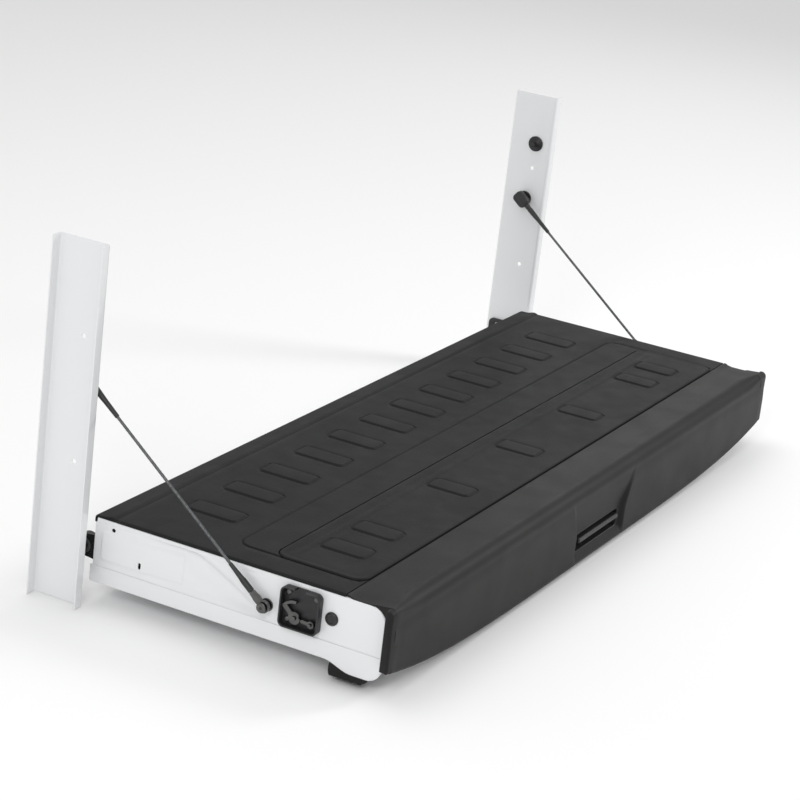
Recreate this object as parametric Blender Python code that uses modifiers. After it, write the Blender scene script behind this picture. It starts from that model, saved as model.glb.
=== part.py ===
"""Drop-down tailgate that opens level and is used as the step into a pickup's load bed.

Metres, +Z up. The origin is the middle of the hinge axis, +X is the truck's right side and +Y is
the truck's front. The gate is modelled open: it lies level and reaches back along -Y, hung on two
steel cables. Positive gate travel swings it up by a quarter turn, about -X, until it stands closed.
"""
import math

import bmesh
import bpy
from mathutils import Matrix, Vector

# ---------------------------------------------------------------- driving dimensions
GAP = 0.0003                    # clearance between pieces that touch
HALF_WIDTH = 0.786              # gate centre line to the face of a side wall
DECK_Z = 0.0585                 # top of the stepping deck above the hinge axis
HINGE_END_Y = -0.020            # end of the gate beside the load bed
SEAM_Y = -0.477                 # joint between the deck and the top cap
WALL_END_Y = -0.5515            # rear end of the white side walls
CAP_FACE_Y = -0.5685            # rear face of the top cap
CAP_HALF_WIDTH = 0.800          # the cap's rear face stands wider than the side walls
SHEET = 0.0015                  # pressed steel of the inner panel
SKIN = 0.0012                   # pressed steel of the outer skin
PILLAR_X = 0.8125               # back of the hardware that bolts to the pillar strips

SKIN_EDGE_Z = -0.058            # outer skin at the side walls
SKIN_CROWN = 0.027              # how much deeper the skin is on the centre line
HEM_TOP_Z = -0.028              # top of the skin's hem on the side walls
LIP_END_Z = -0.034              # cap lip at the ends
LIP_DROP = 0.052                # how much lower the lip is on the centre line

LINER = 0.005                   # moulded deck liner
PAD_RISE = 0.002                # raised tread pads
COVER_RISE = 0.002              # the cover stands this much above the liner
COVER_X = 0.730                 # half width of the cover
COVER_Y = (-0.4755, -0.315)     # rear and front edge of the cover
COVER_CORNER = 0.025
TREAD_Y = (-0.200, -0.108)      # lower row of tread pads
TREAD_COUNT = 12
TREAD_REACH = 0.640             # centre of the outermost pads
TREAD_HALF = 0.021
COVER_PAD_Y = (-0.430, -0.355)
COVER_PAD_X = (0.0, 0.265, 0.530, 0.630)

LATCH = Vector((0.0, -0.4075, 0.0105))      # where the striker sits in a closed latch
LATCH_BOX_Y = (-0.441, -0.371)
LATCH_BOX_Z = (-0.022, 0.046)
LATCH_BOX_X = (HALF_WIDTH + GAP, 0.8005)
LATCH_WALL = 0.002
CLAW_X = (0.7895, 0.7955)
CLAW_PIVOT = LATCH + Vector((0.0, 0.010, -0.014))
PAWL_PIVOT = LATCH + Vector((0.0, -0.019, -0.017))
CLAW_HUB_R = 0.0105
CLAW_REACH = (0.0236, 0.0285)   # inner and outer radius of the hook
CLAW_OPEN_DEG = 42
CLAW_HOOK_DEG = 50
PAWL_REACH = 0.0180

CABLE_X = 0.797
CABLE_R = 0.0025
CABLE_PIN = Vector((0.0, -0.3435, 0.0))     # eye bolt on the gate
ANCHOR = Vector((0.0, 0.0195, 0.2895))      # stud on the truck
BEND_LINK = 0.034               # short links that make the loop when the gate is shut
STRAND_DIFFERENCE = 0.054       # closed eye bolt above the stud: lower strand minus upper strand

PILLAR_Y = (-0.024, 0.070)      # rear and front edge of the pillar strips
PILLAR_Z = (-0.0915, 0.510)
PILLAR_DEPTH = 0.022
PILLAR_SHEET = 0.002
PILLAR_HOLES = ((0.012, 0.355), (0.012, 0.147))

HINGE_PIN_R = 0.008
BUSH_R = 0.0132
CUP_R = 0.0175

SLOT_X = 0.092                  # half width of the handle pocket
SLOT_Z = (-0.072, -0.028)
POCKET_Y = -0.535
PADDLE_PIVOT = Vector((0.0, -0.545, -0.044))
CRANK_PIVOT = Vector((0.0, -0.506, 0.0))
CRANK_ARM = 0.020               # rod holes above and below the crank's pivot
ROD_R = 0.003

ROUND = 32                      # facets of a round piece
FINE = 20                       # facets of a small round piece

# ---------------------------------------------------------------- scene and materials
for old in list(bpy.data.objects):
    bpy.data.objects.remove(old, do_unlink=True)

PARTS = bpy.data.collections.new("tailgate_step")
CUTTERS = bpy.data.collections.new("cutters")
bpy.context.scene.collection.children.link(PARTS)
bpy.context.scene.collection.children.link(CUTTERS)


def material(name, colour, roughness, metallic=0.0):
    made = bpy.data.materials.new(name)
    made.use_nodes = True
    shader = made.node_tree.nodes["Principled BSDF"]
    shader.inputs["Base Color"].default_value = (*colour, 1.0)
    shader.inputs["Roughness"].default_value = roughness
    shader.inputs["Metallic"].default_value = metallic
    return made


WHITE_PAINT = material("white_paint", (0.83, 0.84, 0.85), 0.30)
DECK_PLASTIC = material("deck_plastic", (0.035, 0.035, 0.036), 0.62)
CAP_PLASTIC = material("cap_plastic", (0.043, 0.041, 0.041), 0.55)
BLACK_PLASTIC = material("black_plastic", (0.015, 0.015, 0.016), 0.45)
BLACK_STEEL = material("black_steel", (0.030, 0.030, 0.032), 0.42, 0.6)
ZINC_STEEL = material("zinc_steel", (0.52, 0.52, 0.50), 0.38, 1.0)
CABLE_STEEL = material("cable_steel", (0.36, 0.37, 0.38), 0.42, 1.0)
BUSH_NYLON = material("bush_nylon", (0.10, 0.10, 0.10), 0.50)


def pivot(name, location, parent=None, tilt=0.0):
    """An empty on a joint's axis, which carries the pieces of one body."""
    empty = bpy.data.objects.new(name, None)
    empty.empty_display_size = 0.03
    PARTS.objects.link(empty)
    empty.matrix_world = Matrix.Translation(location) @ Matrix.Rotation(tilt, 4, "X")
    if parent:
        empty.parent = parent
        empty.matrix_parent_inverse = parent.matrix_world.inverted()
    bpy.context.view_layer.update()
    return empty


def carry(obj, body):
    """Hang a piece on its body's empty and leave it where it is."""
    obj.parent = body
    obj.matrix_parent_inverse = body.matrix_world.inverted()
    return obj


def add_mesh(name, bm, finish, place=None):
    mesh = bpy.data.meshes.new(name)
    bmesh.ops.recalc_face_normals(bm, faces=bm.faces[:])
    bm.to_mesh(mesh)
    bm.free()
    obj = bpy.data.objects.new(name, mesh)
    if finish:
        mesh.materials.append(finish)
        mesh.shade_smooth()
        mesh.set_sharp_from_angle(angle=math.radians(35))
        PARTS.objects.link(obj)
    else:
        obj.hide_render = True
        obj.display_type = "WIRE"
        CUTTERS.objects.link(obj)
    if place:
        obj.matrix_world = place
    bpy.context.view_layer.update()
    return obj


def span(low, high):
    return (low + high) / 2, high - low


def fill_box(bm, x, y, z):
    """Add a box between the given pairs of coordinates to a bmesh."""
    centre, size = zip(*(span(*sorted(pair)) for pair in (x, y, z)))
    place = Matrix.Translation(centre) @ Matrix.Diagonal((*size, 1.0))
    bmesh.ops.create_cube(bm, size=1.0, matrix=place)


def box(name, finish, x, y, z):
    bm = bmesh.new()
    fill_box(bm, x, y, z)
    return add_mesh(name, bm, finish)


def rod_between(name, finish, start, end, radius, facets=FINE):
    """A straight round bar with flat ends."""
    start, end = Vector(start), Vector(end)
    axis = end - start
    turn = axis.to_track_quat("Z", "Y").to_matrix().to_4x4()
    bm = bmesh.new()
    bmesh.ops.create_cone(bm, cap_ends=True, segments=facets, radius1=radius, radius2=radius,
                          depth=axis.length)
    return add_mesh(name, bm, finish, Matrix.Translation((start + end) / 2) @ turn)


def turned(name, finish, profile, place, facets=ROUND):
    """A turned piece: profile is (radius, distance along local +Z), down its outer side."""
    bm = bmesh.new()
    points = [bm.verts.new((radius, 0.0, along)) for radius, along in profile]
    for first, second in zip(points, points[1:] + points[:1]):
        on_axis = first.co.x == 0.0 and second.co.x == 0.0
        if not on_axis:
            bm.edges.new((first, second))
    obj = add_mesh(name, bm, finish, place)
    screw = obj.modifiers.new("turn", "SCREW")
    screw.steps = screw.render_steps = facets
    screw.use_merge_vertices = True
    screw.merge_threshold = 0.00001
    return obj


def across(side, x, y, z):
    """Placement of a turned piece whose local +Z points out of the gate's side."""
    turn = Matrix.Rotation(side * math.pi / 2, 4, "Y")
    return Matrix.Translation((side * x, y, z)) @ turn


def arc(centre, radius, start, end, steps):
    """Points on an arc, in degrees."""
    turns = [math.radians(start + (end - start) * k / steps) for k in range(steps + 1)]
    return [(centre[0] + radius * math.cos(t), centre[1] + radius * math.sin(t)) for t in turns]


def rounded_rectangle(low, high, radius, steps=4):
    (x0, y0), (x1, y1) = low, high
    corners = (((x1 - radius, y0 + radius), -90), ((x1 - radius, y1 - radius), 0),
               ((x0 + radius, y1 - radius), 90), ((x0 + radius, y0 + radius), 180))
    return [p for centre, turn in corners for p in arc(centre, radius, turn, turn + 90, steps)]


def plate(name, finish, outlines, thickness, place):
    """A flat outline, with any holes, extruded evenly to both sides of its own plane."""
    curve = bpy.data.curves.new(name + "_outline", "CURVE")
    curve.dimensions = "2D"
    curve.fill_mode = "BOTH"
    curve.extrude = thickness / 2
    for outline in outlines:
        spline = curve.splines.new("POLY")
        spline.points.add(len(outline) - 1)
        spline.use_cyclic_u = True
        for point, (u, v) in zip(spline.points, outline):
            point.co = (u, v, 0.0, 1.0)
    return from_curve(name, finish, curve, place)


def tube(name, finish, points, radius, scales=None, place=None, facets=2):
    """A round wire along a polyline, with filled ends."""
    curve = bpy.data.curves.new(name + "_path", "CURVE")
    curve.dimensions = "3D"
    curve.bevel_depth = radius
    curve.bevel_resolution = facets
    curve.use_fill_caps = True
    spline = curve.splines.new("POLY")
    spline.points.add(len(points) - 1)
    for index, (point, place_on) in enumerate(zip(spline.points, points)):
        point.co = (*place_on, 1.0)
        point.radius = scales[index] if scales else 1.0
    return from_curve(name, finish, curve, place or Matrix.Identity(4))


def from_curve(name, finish, curve, place):
    """Turn a curve into a welded mesh object."""
    guide = bpy.data.objects.new(name + "_guide", curve)
    CUTTERS.objects.link(guide)
    guide.matrix_world = place
    bpy.context.view_layer.update()
    ready = guide.evaluated_get(bpy.context.evaluated_depsgraph_get())
    mesh = bpy.data.meshes.new_from_object(ready)
    bpy.data.objects.remove(guide, do_unlink=True)
    bm = bmesh.new()
    bm.from_mesh(mesh)
    bpy.data.meshes.remove(mesh)
    bmesh.ops.remove_doubles(bm, verts=bm.verts[:], dist=0.00001)
    return add_mesh(name, bm, finish, place)


def side_plane(side, x, y=0.0, z=0.0, turn=0.0):
    """Placement of a flat outline in a plane across X: its u runs along +Y and its v along +Z."""
    stand = Matrix(((0, 0, 1, 0), (1, 0, 0, 0), (0, 1, 0, 0), (0, 0, 0, 1)))
    return Matrix.Translation((side * x, y, z)) @ Matrix.Rotation(turn, 4, "X") @ stand


def side_plate(name, finish, side, x, outlines, y=0.0, z=0.0):
    middle, thickness = span(*x)
    return plate(name, finish, outlines, thickness, side_plane(side, middle, y, z))


def boolean(obj, operation, *cutters):
    for cutter in cutters:
        step = obj.modifiers.new(operation.lower(), "BOOLEAN")
        step.operation = operation
        step.object = cutter
    return obj


def solidify(obj, thickness, offset=-1.0):
    shell = obj.modifiers.new("shell", "SOLIDIFY")
    shell.thickness = thickness
    shell.offset = offset
    shell.use_even_offset = True
    return obj


def bevel(obj, width, segments=2):
    edge = obj.modifiers.new("edges", "BEVEL")
    edge.width = width
    edge.segments = segments
    edge.limit_method = "ANGLE"
    edge.angle_limit = math.radians(40)
    return obj


def surface(name, finish, rows, outward):
    """An open surface through rows of points, its faces turned towards outward."""
    bm = bmesh.new()
    grid = [[bm.verts.new(point) for point in row] for row in rows]
    for near, far in zip(grid, grid[1:]):
        for a, b, c, d in zip(near, near[1:], far[1:], far):
            bm.faces.new((a, b, c, d))
    obj = add_mesh(name, bm, finish)
    middle = obj.data.polygons[len(obj.data.polygons) // 2]
    if middle.normal.dot(Vector(outward)) < 0:
        obj.data.flip_normals()
    return obj


# ---------------------------------------------------------------- shared shapes of the shell
def smooth(t):
    t = min(max(t, 0.0), 1.0)
    return t * t * (3 - 2 * t)


def lip_z(x):
    """Lower edge of the cap's rear face, deepest on the centre line."""
    return LIP_END_Z - LIP_DROP * (1 - min(abs(x) / CAP_HALF_WIDTH, 1.0) ** 4.5)


def skin_z(x, y):
    """Outer face of the skin: crowned across the width and drawn up to meet the cap's lip."""
    plain = SKIN_EDGE_Z - SKIN_CROWN * (1 - min(abs(x) / HALF_WIDTH, 1.0) ** 4)
    return plain + (lip_z(x) + 0.004 - plain) * smooth((-0.515 - y) / 0.040)


def even(low, high, count):
    return [low + (high - low) * k / count for k in range(count + 1)]


# ---------------------------------------------------------------- gate shell
def outer_skin(body):
    """Painted outer panel, the underside when the gate lies open, hemmed over the side walls."""
    reach = HALF_WIDTH + GAP + SKIN
    lines = even(HINGE_END_Y + 0.0035, -0.490, 6) + even(-0.505, WALL_END_Y - 0.0005, 4)
    rows = []
    for y in lines:
        row = [(-reach, y, HEM_TOP_Z)]
        row += [(x, y, skin_z(x, y)) for x in even(-reach, reach, 20)]
        row += [(reach, y, HEM_TOP_Z)]
        rows.append(row)
    skin = surface("outer_skin", WHITE_PAINT, rows, (0, 0, -1))
    return carry(solidify(skin, SKIN), body)


def inner_panel(body):
    """Pressed inner panel: a tray that is open below, with both side walls and both end walls."""
    top = DECK_Z - LINER - 0.0005
    rear_low, rear_reach = -0.020, 0.740
    low_line = even(HINGE_END_Y, -0.500, 4) + even(-0.515, WALL_END_Y, 4)
    bm = bmesh.new()
    walls = {}
    for side in (-1, 1):
        x = side * HALF_WIDTH
        low = [bm.verts.new((x, y, skin_z(x, y) + 0.003)) for y in low_line]
        front_top, rear_top = (bm.verts.new((x, y, top)) for y in (HINGE_END_Y, WALL_END_Y))
        bm.faces.new([front_top, *low, rear_top])
        step = bm.verts.new((side * rear_reach, WALL_END_Y, rear_low))
        walls[side] = front_top, rear_top, low[0], low[-1], step
    left, right = walls[-1], walls[1]
    bm.faces.new((left[0], left[1], right[1], right[0]))
    bm.faces.new((left[0], right[0], right[2], left[2]))
    bm.faces.new((left[1], left[3], left[4], right[4], right[3], right[1]))
    tray = add_mesh("inner_panel", bm, WHITE_PAINT)
    if tray.data.polygons[2].normal.z < 0:
        tray.data.flip_normals()
    solidify(tray, SHEET)
    for side in (-1, 1):
        notch = box("hinge_notch", None, (side * 0.757, side * 0.7842),
                    (HINGE_END_Y - 0.010, HINGE_END_Y + 0.010), (-0.030, 0.030))
        boolean(tray, "DIFFERENCE", notch)
    return carry(tray, body)


def pads(name, centres, half, y, top):
    """Raised tread pads as one mesh, sunk into the panel that they are moulded on."""
    bm = bmesh.new()
    for x in centres:
        fill_box(bm, (x - half, x + half), y, (top - 0.003, top))
    return add_mesh(name, bm, None)


def deck_liner(body):
    """Moulded tread liner with a window for the cover and twelve raised pads."""
    outline = [(-HALF_WIDTH, SEAM_Y), (HALF_WIDTH, SEAM_Y),
               (HALF_WIDTH, HINGE_END_Y - 0.039), (-HALF_WIDTH, HINGE_END_Y - 0.039)]
    clear = 0.0008
    window = rounded_rectangle((-COVER_X - clear, COVER_Y[0] - clear),
                               (COVER_X + clear, COVER_Y[1] + clear), COVER_CORNER + clear)
    place = Matrix.Translation((0, 0, DECK_Z - LINER / 2))
    liner = plate("deck_liner", DECK_PLASTIC, [outline, window], LINER, place)
    centres = even(-TREAD_REACH, TREAD_REACH, TREAD_COUNT - 1)
    boolean(liner, "UNION", pads("tread_pads", centres, TREAD_HALF, TREAD_Y, DECK_Z + PAD_RISE))
    return carry(liner, body)


def access_cover(body):
    """Removable cover over the latch rods, in the liner's window."""
    thickness = LINER + COVER_RISE
    outline = rounded_rectangle((-COVER_X, COVER_Y[0]), (COVER_X, COVER_Y[1]), COVER_CORNER)
    place = Matrix.Translation((0, 0, DECK_Z + COVER_RISE - thickness / 2))
    cover = plate("access_cover", DECK_PLASTIC, [outline], thickness, place)
    centres = sorted({side * x for x in COVER_PAD_X for side in (-1, 1)})
    top = DECK_Z + COVER_RISE + PAD_RISE
    boolean(cover, "UNION", pads("cover_pads", centres, TREAD_HALF, COVER_PAD_Y, top))
    return carry(cover, body)


def hinge_end_trim(body):
    """Rounded black moulding over the edge beside the load bed."""
    rear = HINGE_END_Y - 0.0385
    base, crest = DECK_Z - LINER, DECK_Z + 0.002
    outline = [(rear, base), (HINGE_END_Y + GAP, base), (HINGE_END_Y + GAP, 0.044),
               (HINGE_END_Y + 0.0035, 0.044), (HINGE_END_Y + 0.0035, base)]
    outline += arc((HINGE_END_Y - 0.0035, crest - 0.007), 0.007, 0, 90, 4)
    outline += [(rear + 0.004, crest), (rear, crest - 0.0015)]
    trim = side_plate("hinge_end_trim", DECK_PLASTIC, 1, (-HALF_WIDTH, HALF_WIDTH), [outline])
    return carry(trim, body)


def cap_section(x):
    """Outer line of the cap at x, from the seam over the ridge and down to the lip."""
    front = SEAM_Y - 0.0015
    low = lip_z(x)
    ridge = arc((CAP_FACE_Y + 0.024, DECK_Z - 0.022), 0.022, 90, 175, 5)
    line = [(front, DECK_Z), (front - 0.030, DECK_Z)] + ridge
    line += [(CAP_FACE_Y + 0.001, 0.0), (CAP_FACE_Y, low + 0.008)]
    line += [(CAP_FACE_Y + 0.003, low + 0.0015), (CAP_FACE_Y + 0.009, low)]
    return [(x, y, z) for y, z in line]


def top_cap(body):
    """Moulded cap over the free edge, with closed ends and an opening for the handle."""
    reach = HALF_WIDTH - 0.0006
    rows = [cap_section(x) for x in even(-reach, reach, 22)]
    cap = surface("top_cap", CAP_PLASTIC, rows, (0, -0.7, 0.7))
    solidify(cap, 0.003)
    for side in (-1, 1):
        low = lip_z(CAP_HALF_WIDTH)
        outline = rounded_rectangle((CAP_FACE_Y, low), (WALL_END_Y - 0.0012, DECK_Z - 0.003), 0.006)
        cheek = side_plate("cap_cheek", None, side, (0.772, CAP_HALF_WIDTH), [outline])
        boolean(cap, "UNION", cheek)
    opening = box("handle_opening", None, (-SLOT_X - 0.0005, SLOT_X + 0.0005),
                  (CAP_FACE_Y - 0.01, CAP_FACE_Y + 0.02), (SLOT_Z[0] - 0.0005, SLOT_Z[1] + 0.0005))
    boolean(cap, "DIFFERENCE", opening)
    return carry(cap, body)


def outer_trim(body):
    """Black strip across the outer skin, below the cap."""
    clear = 0.0006
    reach = HALF_WIDTH - 0.002
    rows = []
    for y in even(-0.514, -0.466, 4):
        rows.append([(x, y, skin_z(x, -0.5) - clear) for x in even(-reach, reach, 20)])
    strip = surface("outer_trim", CAP_PLASTIC, rows, (0, 0, -1))
    return carry(solidify(strip, 0.005, 1.0), body)


def reinforcement_beam(body):
    """Channel that stiffens the gate between its cable bolts."""
    line = [(-0.318, -0.048), (-0.300, -0.048), (-0.290, -0.012), (-0.250, -0.012),
            (-0.240, -0.048), (-0.222, -0.048)]
    rows = [[(x, y, z) for y, z in line] for x in (-0.740, 0.740)]
    return carry(solidify(surface("reinforcement_beam", ZINC_STEEL, rows, (0, 0, 1)), 0.002), body)


def torsion_assist(body):
    """Torsion rod that carries part of the gate's weight, and the two clips that hold it."""
    y, z, radius = -0.048, -0.012, 0.005
    path = [(-0.745, y, z), (0.080, y, z), (0.100, y - 0.008, z), (0.106, y - 0.050, z)]
    pieces = [tube("torsion_rod", BLACK_STEEL, path, radius)]
    for name, x in (("torsion_clip_outer", -0.520), ("torsion_clip_inner", -0.040)):
        clip = box(name, BLACK_PLASTIC, (x - 0.012, x + 0.012), (y - 0.011, y + 0.011),
                   (z - 0.012, z + 0.012))
        bore = rod_between("clip_bore", None, (x - 0.03, y, z), (x + 0.03, y, z), radius + GAP)
        pieces.append(boolean(clip, "DIFFERENCE", bore))
    for piece in pieces:
        carry(piece, body)


# ---------------------------------------------------------------- hinges
def hinge_cup(side, suffix, body):
    """Steel ear inside the side wall, with the cup that turns on the truck's pin."""
    ear_r = CUP_R + 0.0015
    outline = [(-0.095, -0.022), (-0.030, -0.022)] + arc((0, 0), ear_r, -90, 90, 10)
    outline += [(-0.030, 0.022), (-0.095, 0.022)]
    ear = side_plate("hinge_cup" + suffix, BLACK_STEEL, side, (0.7790, 0.7840), [outline])
    ends = (side * 0.7660, 0, 0), (side * HALF_WIDTH, 0, 0)
    boolean(ear, "UNION", rod_between("cup_barrel", None, *ends, CUP_R, ROUND))
    through = (side * 0.75, 0, 0), (side * 0.80, 0, 0)
    boolean(ear, "DIFFERENCE", rod_between("cup_bore", None, *through, BUSH_R + GAP, ROUND))
    return carry(ear, body)


def hinge_bush(side, suffix, body):
    inner = HINGE_PIN_R + GAP
    length = 0.0225
    profile = [(BUSH_R, length), (BUSH_R, 0), (inner, 0), (inner, length)]
    bush = turned("hinge_bush" + suffix, BUSH_NYLON, profile, across(side, 0.7645, 0, 0))
    return carry(bush, body)


def hinge_bracket(side, suffix, body):
    """Plate on the truck's sill with the pin that the gate turns on."""
    thickness = 0.004
    outline = rounded_rectangle((-0.018, -0.050), (0.062, 0.018), 0.010)
    holes = [arc((0.045, z), 0.0045, 0, 330, 11) for z in (-0.038, 0.006)]
    x = (PILLAR_X - thickness, PILLAR_X)
    bracket = side_plate("hinge_bracket" + suffix, BLACK_STEEL, side, x, [outline, *holes])
    ends = (side * 0.7635, 0, 0), (side * (PILLAR_X - 0.001), 0, 0)
    boolean(bracket, "UNION", rod_between("hinge_pin", None, *ends, HINGE_PIN_R, ROUND))
    return carry(bracket, body)


def pillar_strip(side, suffix, body):
    """Pressed strip of the load bed's rear pillar, which carries the gate's hardware."""
    inner, outer = PILLAR_X + GAP, PILLAR_X + PILLAR_DEPTH
    rear, front = PILLAR_Y
    line = [(outer, rear), (inner, rear), (inner, front), (outer, front)]
    rows = [[(side * x, y, z) for x, y in line] for z in PILLAR_Z]
    strip = surface("pillar_strip" + suffix, WHITE_PAINT, rows, (-side, 0, 0))
    solidify(strip, PILLAR_SHEET)
    for y, z in PILLAR_HOLES:
        ends = (side * (inner - 0.01), y, z), (side * (inner + 0.01), y, z)
        boolean(strip, "DIFFERENCE", rod_between("pillar_hole", None, *ends, 0.004))
    return carry(strip, body)


# ---------------------------------------------------------------- latches
def latch_housing(side, suffix, body):
    """Open-faced latch box on the side wall, with a throat that the striker enters from above."""
    outline = rounded_rectangle((LATCH_BOX_Y[0], LATCH_BOX_Z[0]), (LATCH_BOX_Y[1], LATCH_BOX_Z[1]), 0.009)
    housing = side_plate("latch_housing" + suffix, BLACK_STEEL, side, LATCH_BOX_X, [outline])
    wall = LATCH_WALL
    inside = rounded_rectangle((LATCH_BOX_Y[0] + wall, LATCH_BOX_Z[0] + wall),
                               (LATCH_BOX_Y[1] - wall, LATCH_BOX_Z[1] - wall), 0.007)
    depth = (LATCH_BOX_X[0] + wall, LATCH_BOX_X[1] + 0.005)
    cavity = side_plate("latch_cavity", None, side, depth, [inside])
    throat = box("latch_throat", None, (side * depth[0], side * depth[1]),
                 (LATCH.y - 0.0085, LATCH.y + 0.0115), (0.030, 0.060))
    boolean(housing, "DIFFERENCE", cavity, throat)
    return carry(housing, body)


def latch_pin(name, side, centre, radius, body):
    """Rivet that a latch lever turns on."""
    start, end = LATCH_BOX_X[0] + LATCH_WALL + GAP, 0.7985
    ends = (side * start, centre.y, centre.z), (side * end, centre.y, centre.z)
    return carry(rod_between(name, ZINC_STEEL, *ends, radius), body)


def latch_claw(side, suffix, body):
    """Hook that swings over the striker; modelled open, clear of the striker's path."""
    inner, outer = CLAW_REACH
    arm = 0.004
    start, tip = CLAW_OPEN_DEG, CLAW_OPEN_DEG + CLAW_HOOK_DEG
    edge = math.degrees(math.asin(arm / CLAW_HUB_R))
    near = math.degrees(math.asin(arm / inner))
    far = math.degrees(math.asin(arm / outer))
    notch = start + 105
    outline = arc((0, 0), outer, start - far, tip, 8)
    outline += arc((0, 0), inner, tip, start + near, 8)
    outline += arc((0, 0), CLAW_HUB_R, start + edge, notch, 6)
    outline += arc((0, 0), CLAW_HUB_R - 0.002, notch, notch + 25, 2)
    outline += arc((0, 0), CLAW_HUB_R, notch + 25, 360 + start - edge, 12)
    bore = arc((0, 0), 0.0038, 0, 337.5, 15)
    claw = side_plate("latch_claw" + suffix, ZINC_STEEL, side, CLAW_X, [outline, bore],
                      CLAW_PIVOT.y, CLAW_PIVOT.z)
    return carry(claw, body)


def latch_pawl(side, suffix, body):
    """Lever that rides on the claw's hub and drops into its notch."""
    towards = CLAW_PIVOT - PAWL_PIVOT
    aim = math.degrees(math.atan2(towards.z, towards.y))
    half, hub = 0.003, 0.0062
    edge = math.degrees(math.asin(half / hub))
    tip = (PAWL_REACH - half) * math.cos(math.radians(aim)), (PAWL_REACH - half) * math.sin(math.radians(aim))
    outline = arc(tip, half, aim - 90, aim + 90, 6)
    outline += arc((0, 0), hub, aim + edge, aim + 360 - edge, 14)
    bore = arc((0, 0), 0.0028, 0, 330, 11)
    pawl = side_plate("latch_pawl" + suffix, ZINC_STEEL, side, CLAW_X, [outline, bore],
                      PAWL_PIVOT.y, PAWL_PIVOT.z)
    return carry(pawl, body)


def striker(side, suffix, body):
    """Round plate on the truck's pillar with the pin that the latch holds."""
    profile = [(0.0, 0.0235), (0.005, 0.0235), (0.005, 0.0040), (0.016, 0.0030), (0.016, 0.0), (0.0, 0.0)]
    place = across(-side, -PILLAR_X, *closed(LATCH))
    return carry(turned("striker" + suffix, BLACK_STEEL, profile, place), body)


def closed(point):
    """Y and Z of a gate point once the gate has swung up by a quarter turn."""
    return point.z, -point.y


# ---------------------------------------------------------------- cables
def cable_layout():
    """Length of each link, and the tilt of the taut cable, from its two end points."""
    reach = ANCHOR - CABLE_PIN
    straight = reach.length - 2 * BEND_LINK
    lower = (straight + STRAND_DIFFERENCE) / 2
    stops = [0.0, lower, lower + BEND_LINK, lower + 2 * BEND_LINK, reach.length]
    return stops, math.atan2(reach.z, reach.y)


def strand(name, root, stops, point_low, point_high, body):
    """Stretch of bare cable along local +Y; a pointed end leaves room for its joint to bend."""
    start, end = stops
    taper, tip = 0.0018, 0.10
    low = [(start + GAP, tip), (start + taper, 1.0)] if point_low else [(start, 1.0)]
    high = [(end - taper, 1.0), (end - GAP, tip)] if point_high else [(end, 1.0)]
    stations = low + high
    path = [(0.0, along, 0.0) for along, _ in stations]
    obj = tube(name, CABLE_STEEL, path, CABLE_R, [scale for _, scale in stations], root)
    return carry(obj, body)


def cable_eye(name, root, body):
    """Crimped terminal with the eye that turns on the gate's bolt."""
    outline = arc((0, 0), 0.0105, 35, 325, 14) + [(0.017, -0.0058), (0.030, -0.0042),
                                                  (0.030, 0.0042), (0.017, 0.0058)]
    bore = arc((0, 0), 0.0052, 0, 345, 23)
    stand = Matrix(((0, 0, 1, 0), (1, 0, 0, 0), (0, 1, 0, 0), (0, 0, 0, 1)))
    return carry(plate(name, ZINC_STEEL, [outline, bore], 0.007, root @ stand), body)


def cable_sleeve(name, root, body):
    inner, outer = CABLE_R + GAP, 0.0052
    start, end = 0.0303, 0.0850
    profile = [(outer, end), (outer, start), (inner, start), (inner, end)]
    along = root @ Matrix.Rotation(-math.pi / 2, 4, "X")
    return carry(turned(name, BLACK_PLASTIC, profile, along, FINE), body)


def cable_clip(name, root, length, body):
    """Moulded boot and clip head that snaps over the truck's stud."""
    start, head = length - 0.0900, length - 0.0170
    bm = bmesh.new()
    fill_box(bm, (-0.007, 0.007), (head, length + 0.0160), (-0.0125, 0.0125))
    clip = bevel(add_mesh(name, bm, BLACK_PLASTIC, root), 0.003)
    boot = rod_between(name + "_boot", None, root @ Vector((0, start, 0)),
                       root @ Vector((0, head + 0.004, 0)), 0.0056)
    bore = rod_between(name + "_bore", None, root @ Vector((0, start - 0.01, 0)),
                       root @ Vector((0, head - 0.0005, 0)), CABLE_R + GAP)
    boolean(clip, "UNION", boot)
    boolean(clip, "DIFFERENCE", bore)
    return carry(clip, body)


def cable(side, suffix, gate):
    """Support cable: a chain of four links from the gate's bolt to the truck's stud."""
    stops, tilt = cable_layout()
    root = Matrix.Translation((side * CABLE_X, CABLE_PIN.y, CABLE_PIN.z)) @ Matrix.Rotation(tilt, 4, "X")
    bodies = []
    parent = gate
    for index, stop in enumerate(stops[:4]):
        point = root @ Vector((0, stop, 0))
        parent = pivot(f"cable_pivot_{index}{suffix}", point, parent, tilt)
        bodies.append(parent)
    cable_eye("cable_eye" + suffix, root, bodies[0])
    cable_sleeve("cable_sleeve" + suffix, root, bodies[0])
    strand("cable_lower" + suffix, root, (0.0303, stops[1]), False, True, bodies[0])
    strand("cable_bend_1" + suffix, root, stops[1:3], True, True, bodies[1])
    strand("cable_bend_2" + suffix, root, stops[2:4], True, True, bodies[2])
    last = stops[4] - 0.0178
    strand("cable_upper" + suffix, root, (stops[3], last), True, False, bodies[3])
    cable_clip("cable_clip" + suffix, root, stops[4], bodies[3])


def cable_bolt(side, suffix, body):
    """Shouldered bolt in the side wall that carries the cable's eye."""
    profile = [(0.0, 0.0202), (0.0085, 0.0202), (0.0085, 0.0172), (0.0048, 0.0172), (0.0048, 0.0022),
               (0.0110, 0.0022), (0.0110, 0.0), (0.0, 0.0)]
    place = across(side, HALF_WIDTH + GAP, CABLE_PIN.y, CABLE_PIN.z)
    return carry(turned("cable_bolt" + suffix, ZINC_STEEL, profile, place), body)


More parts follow.
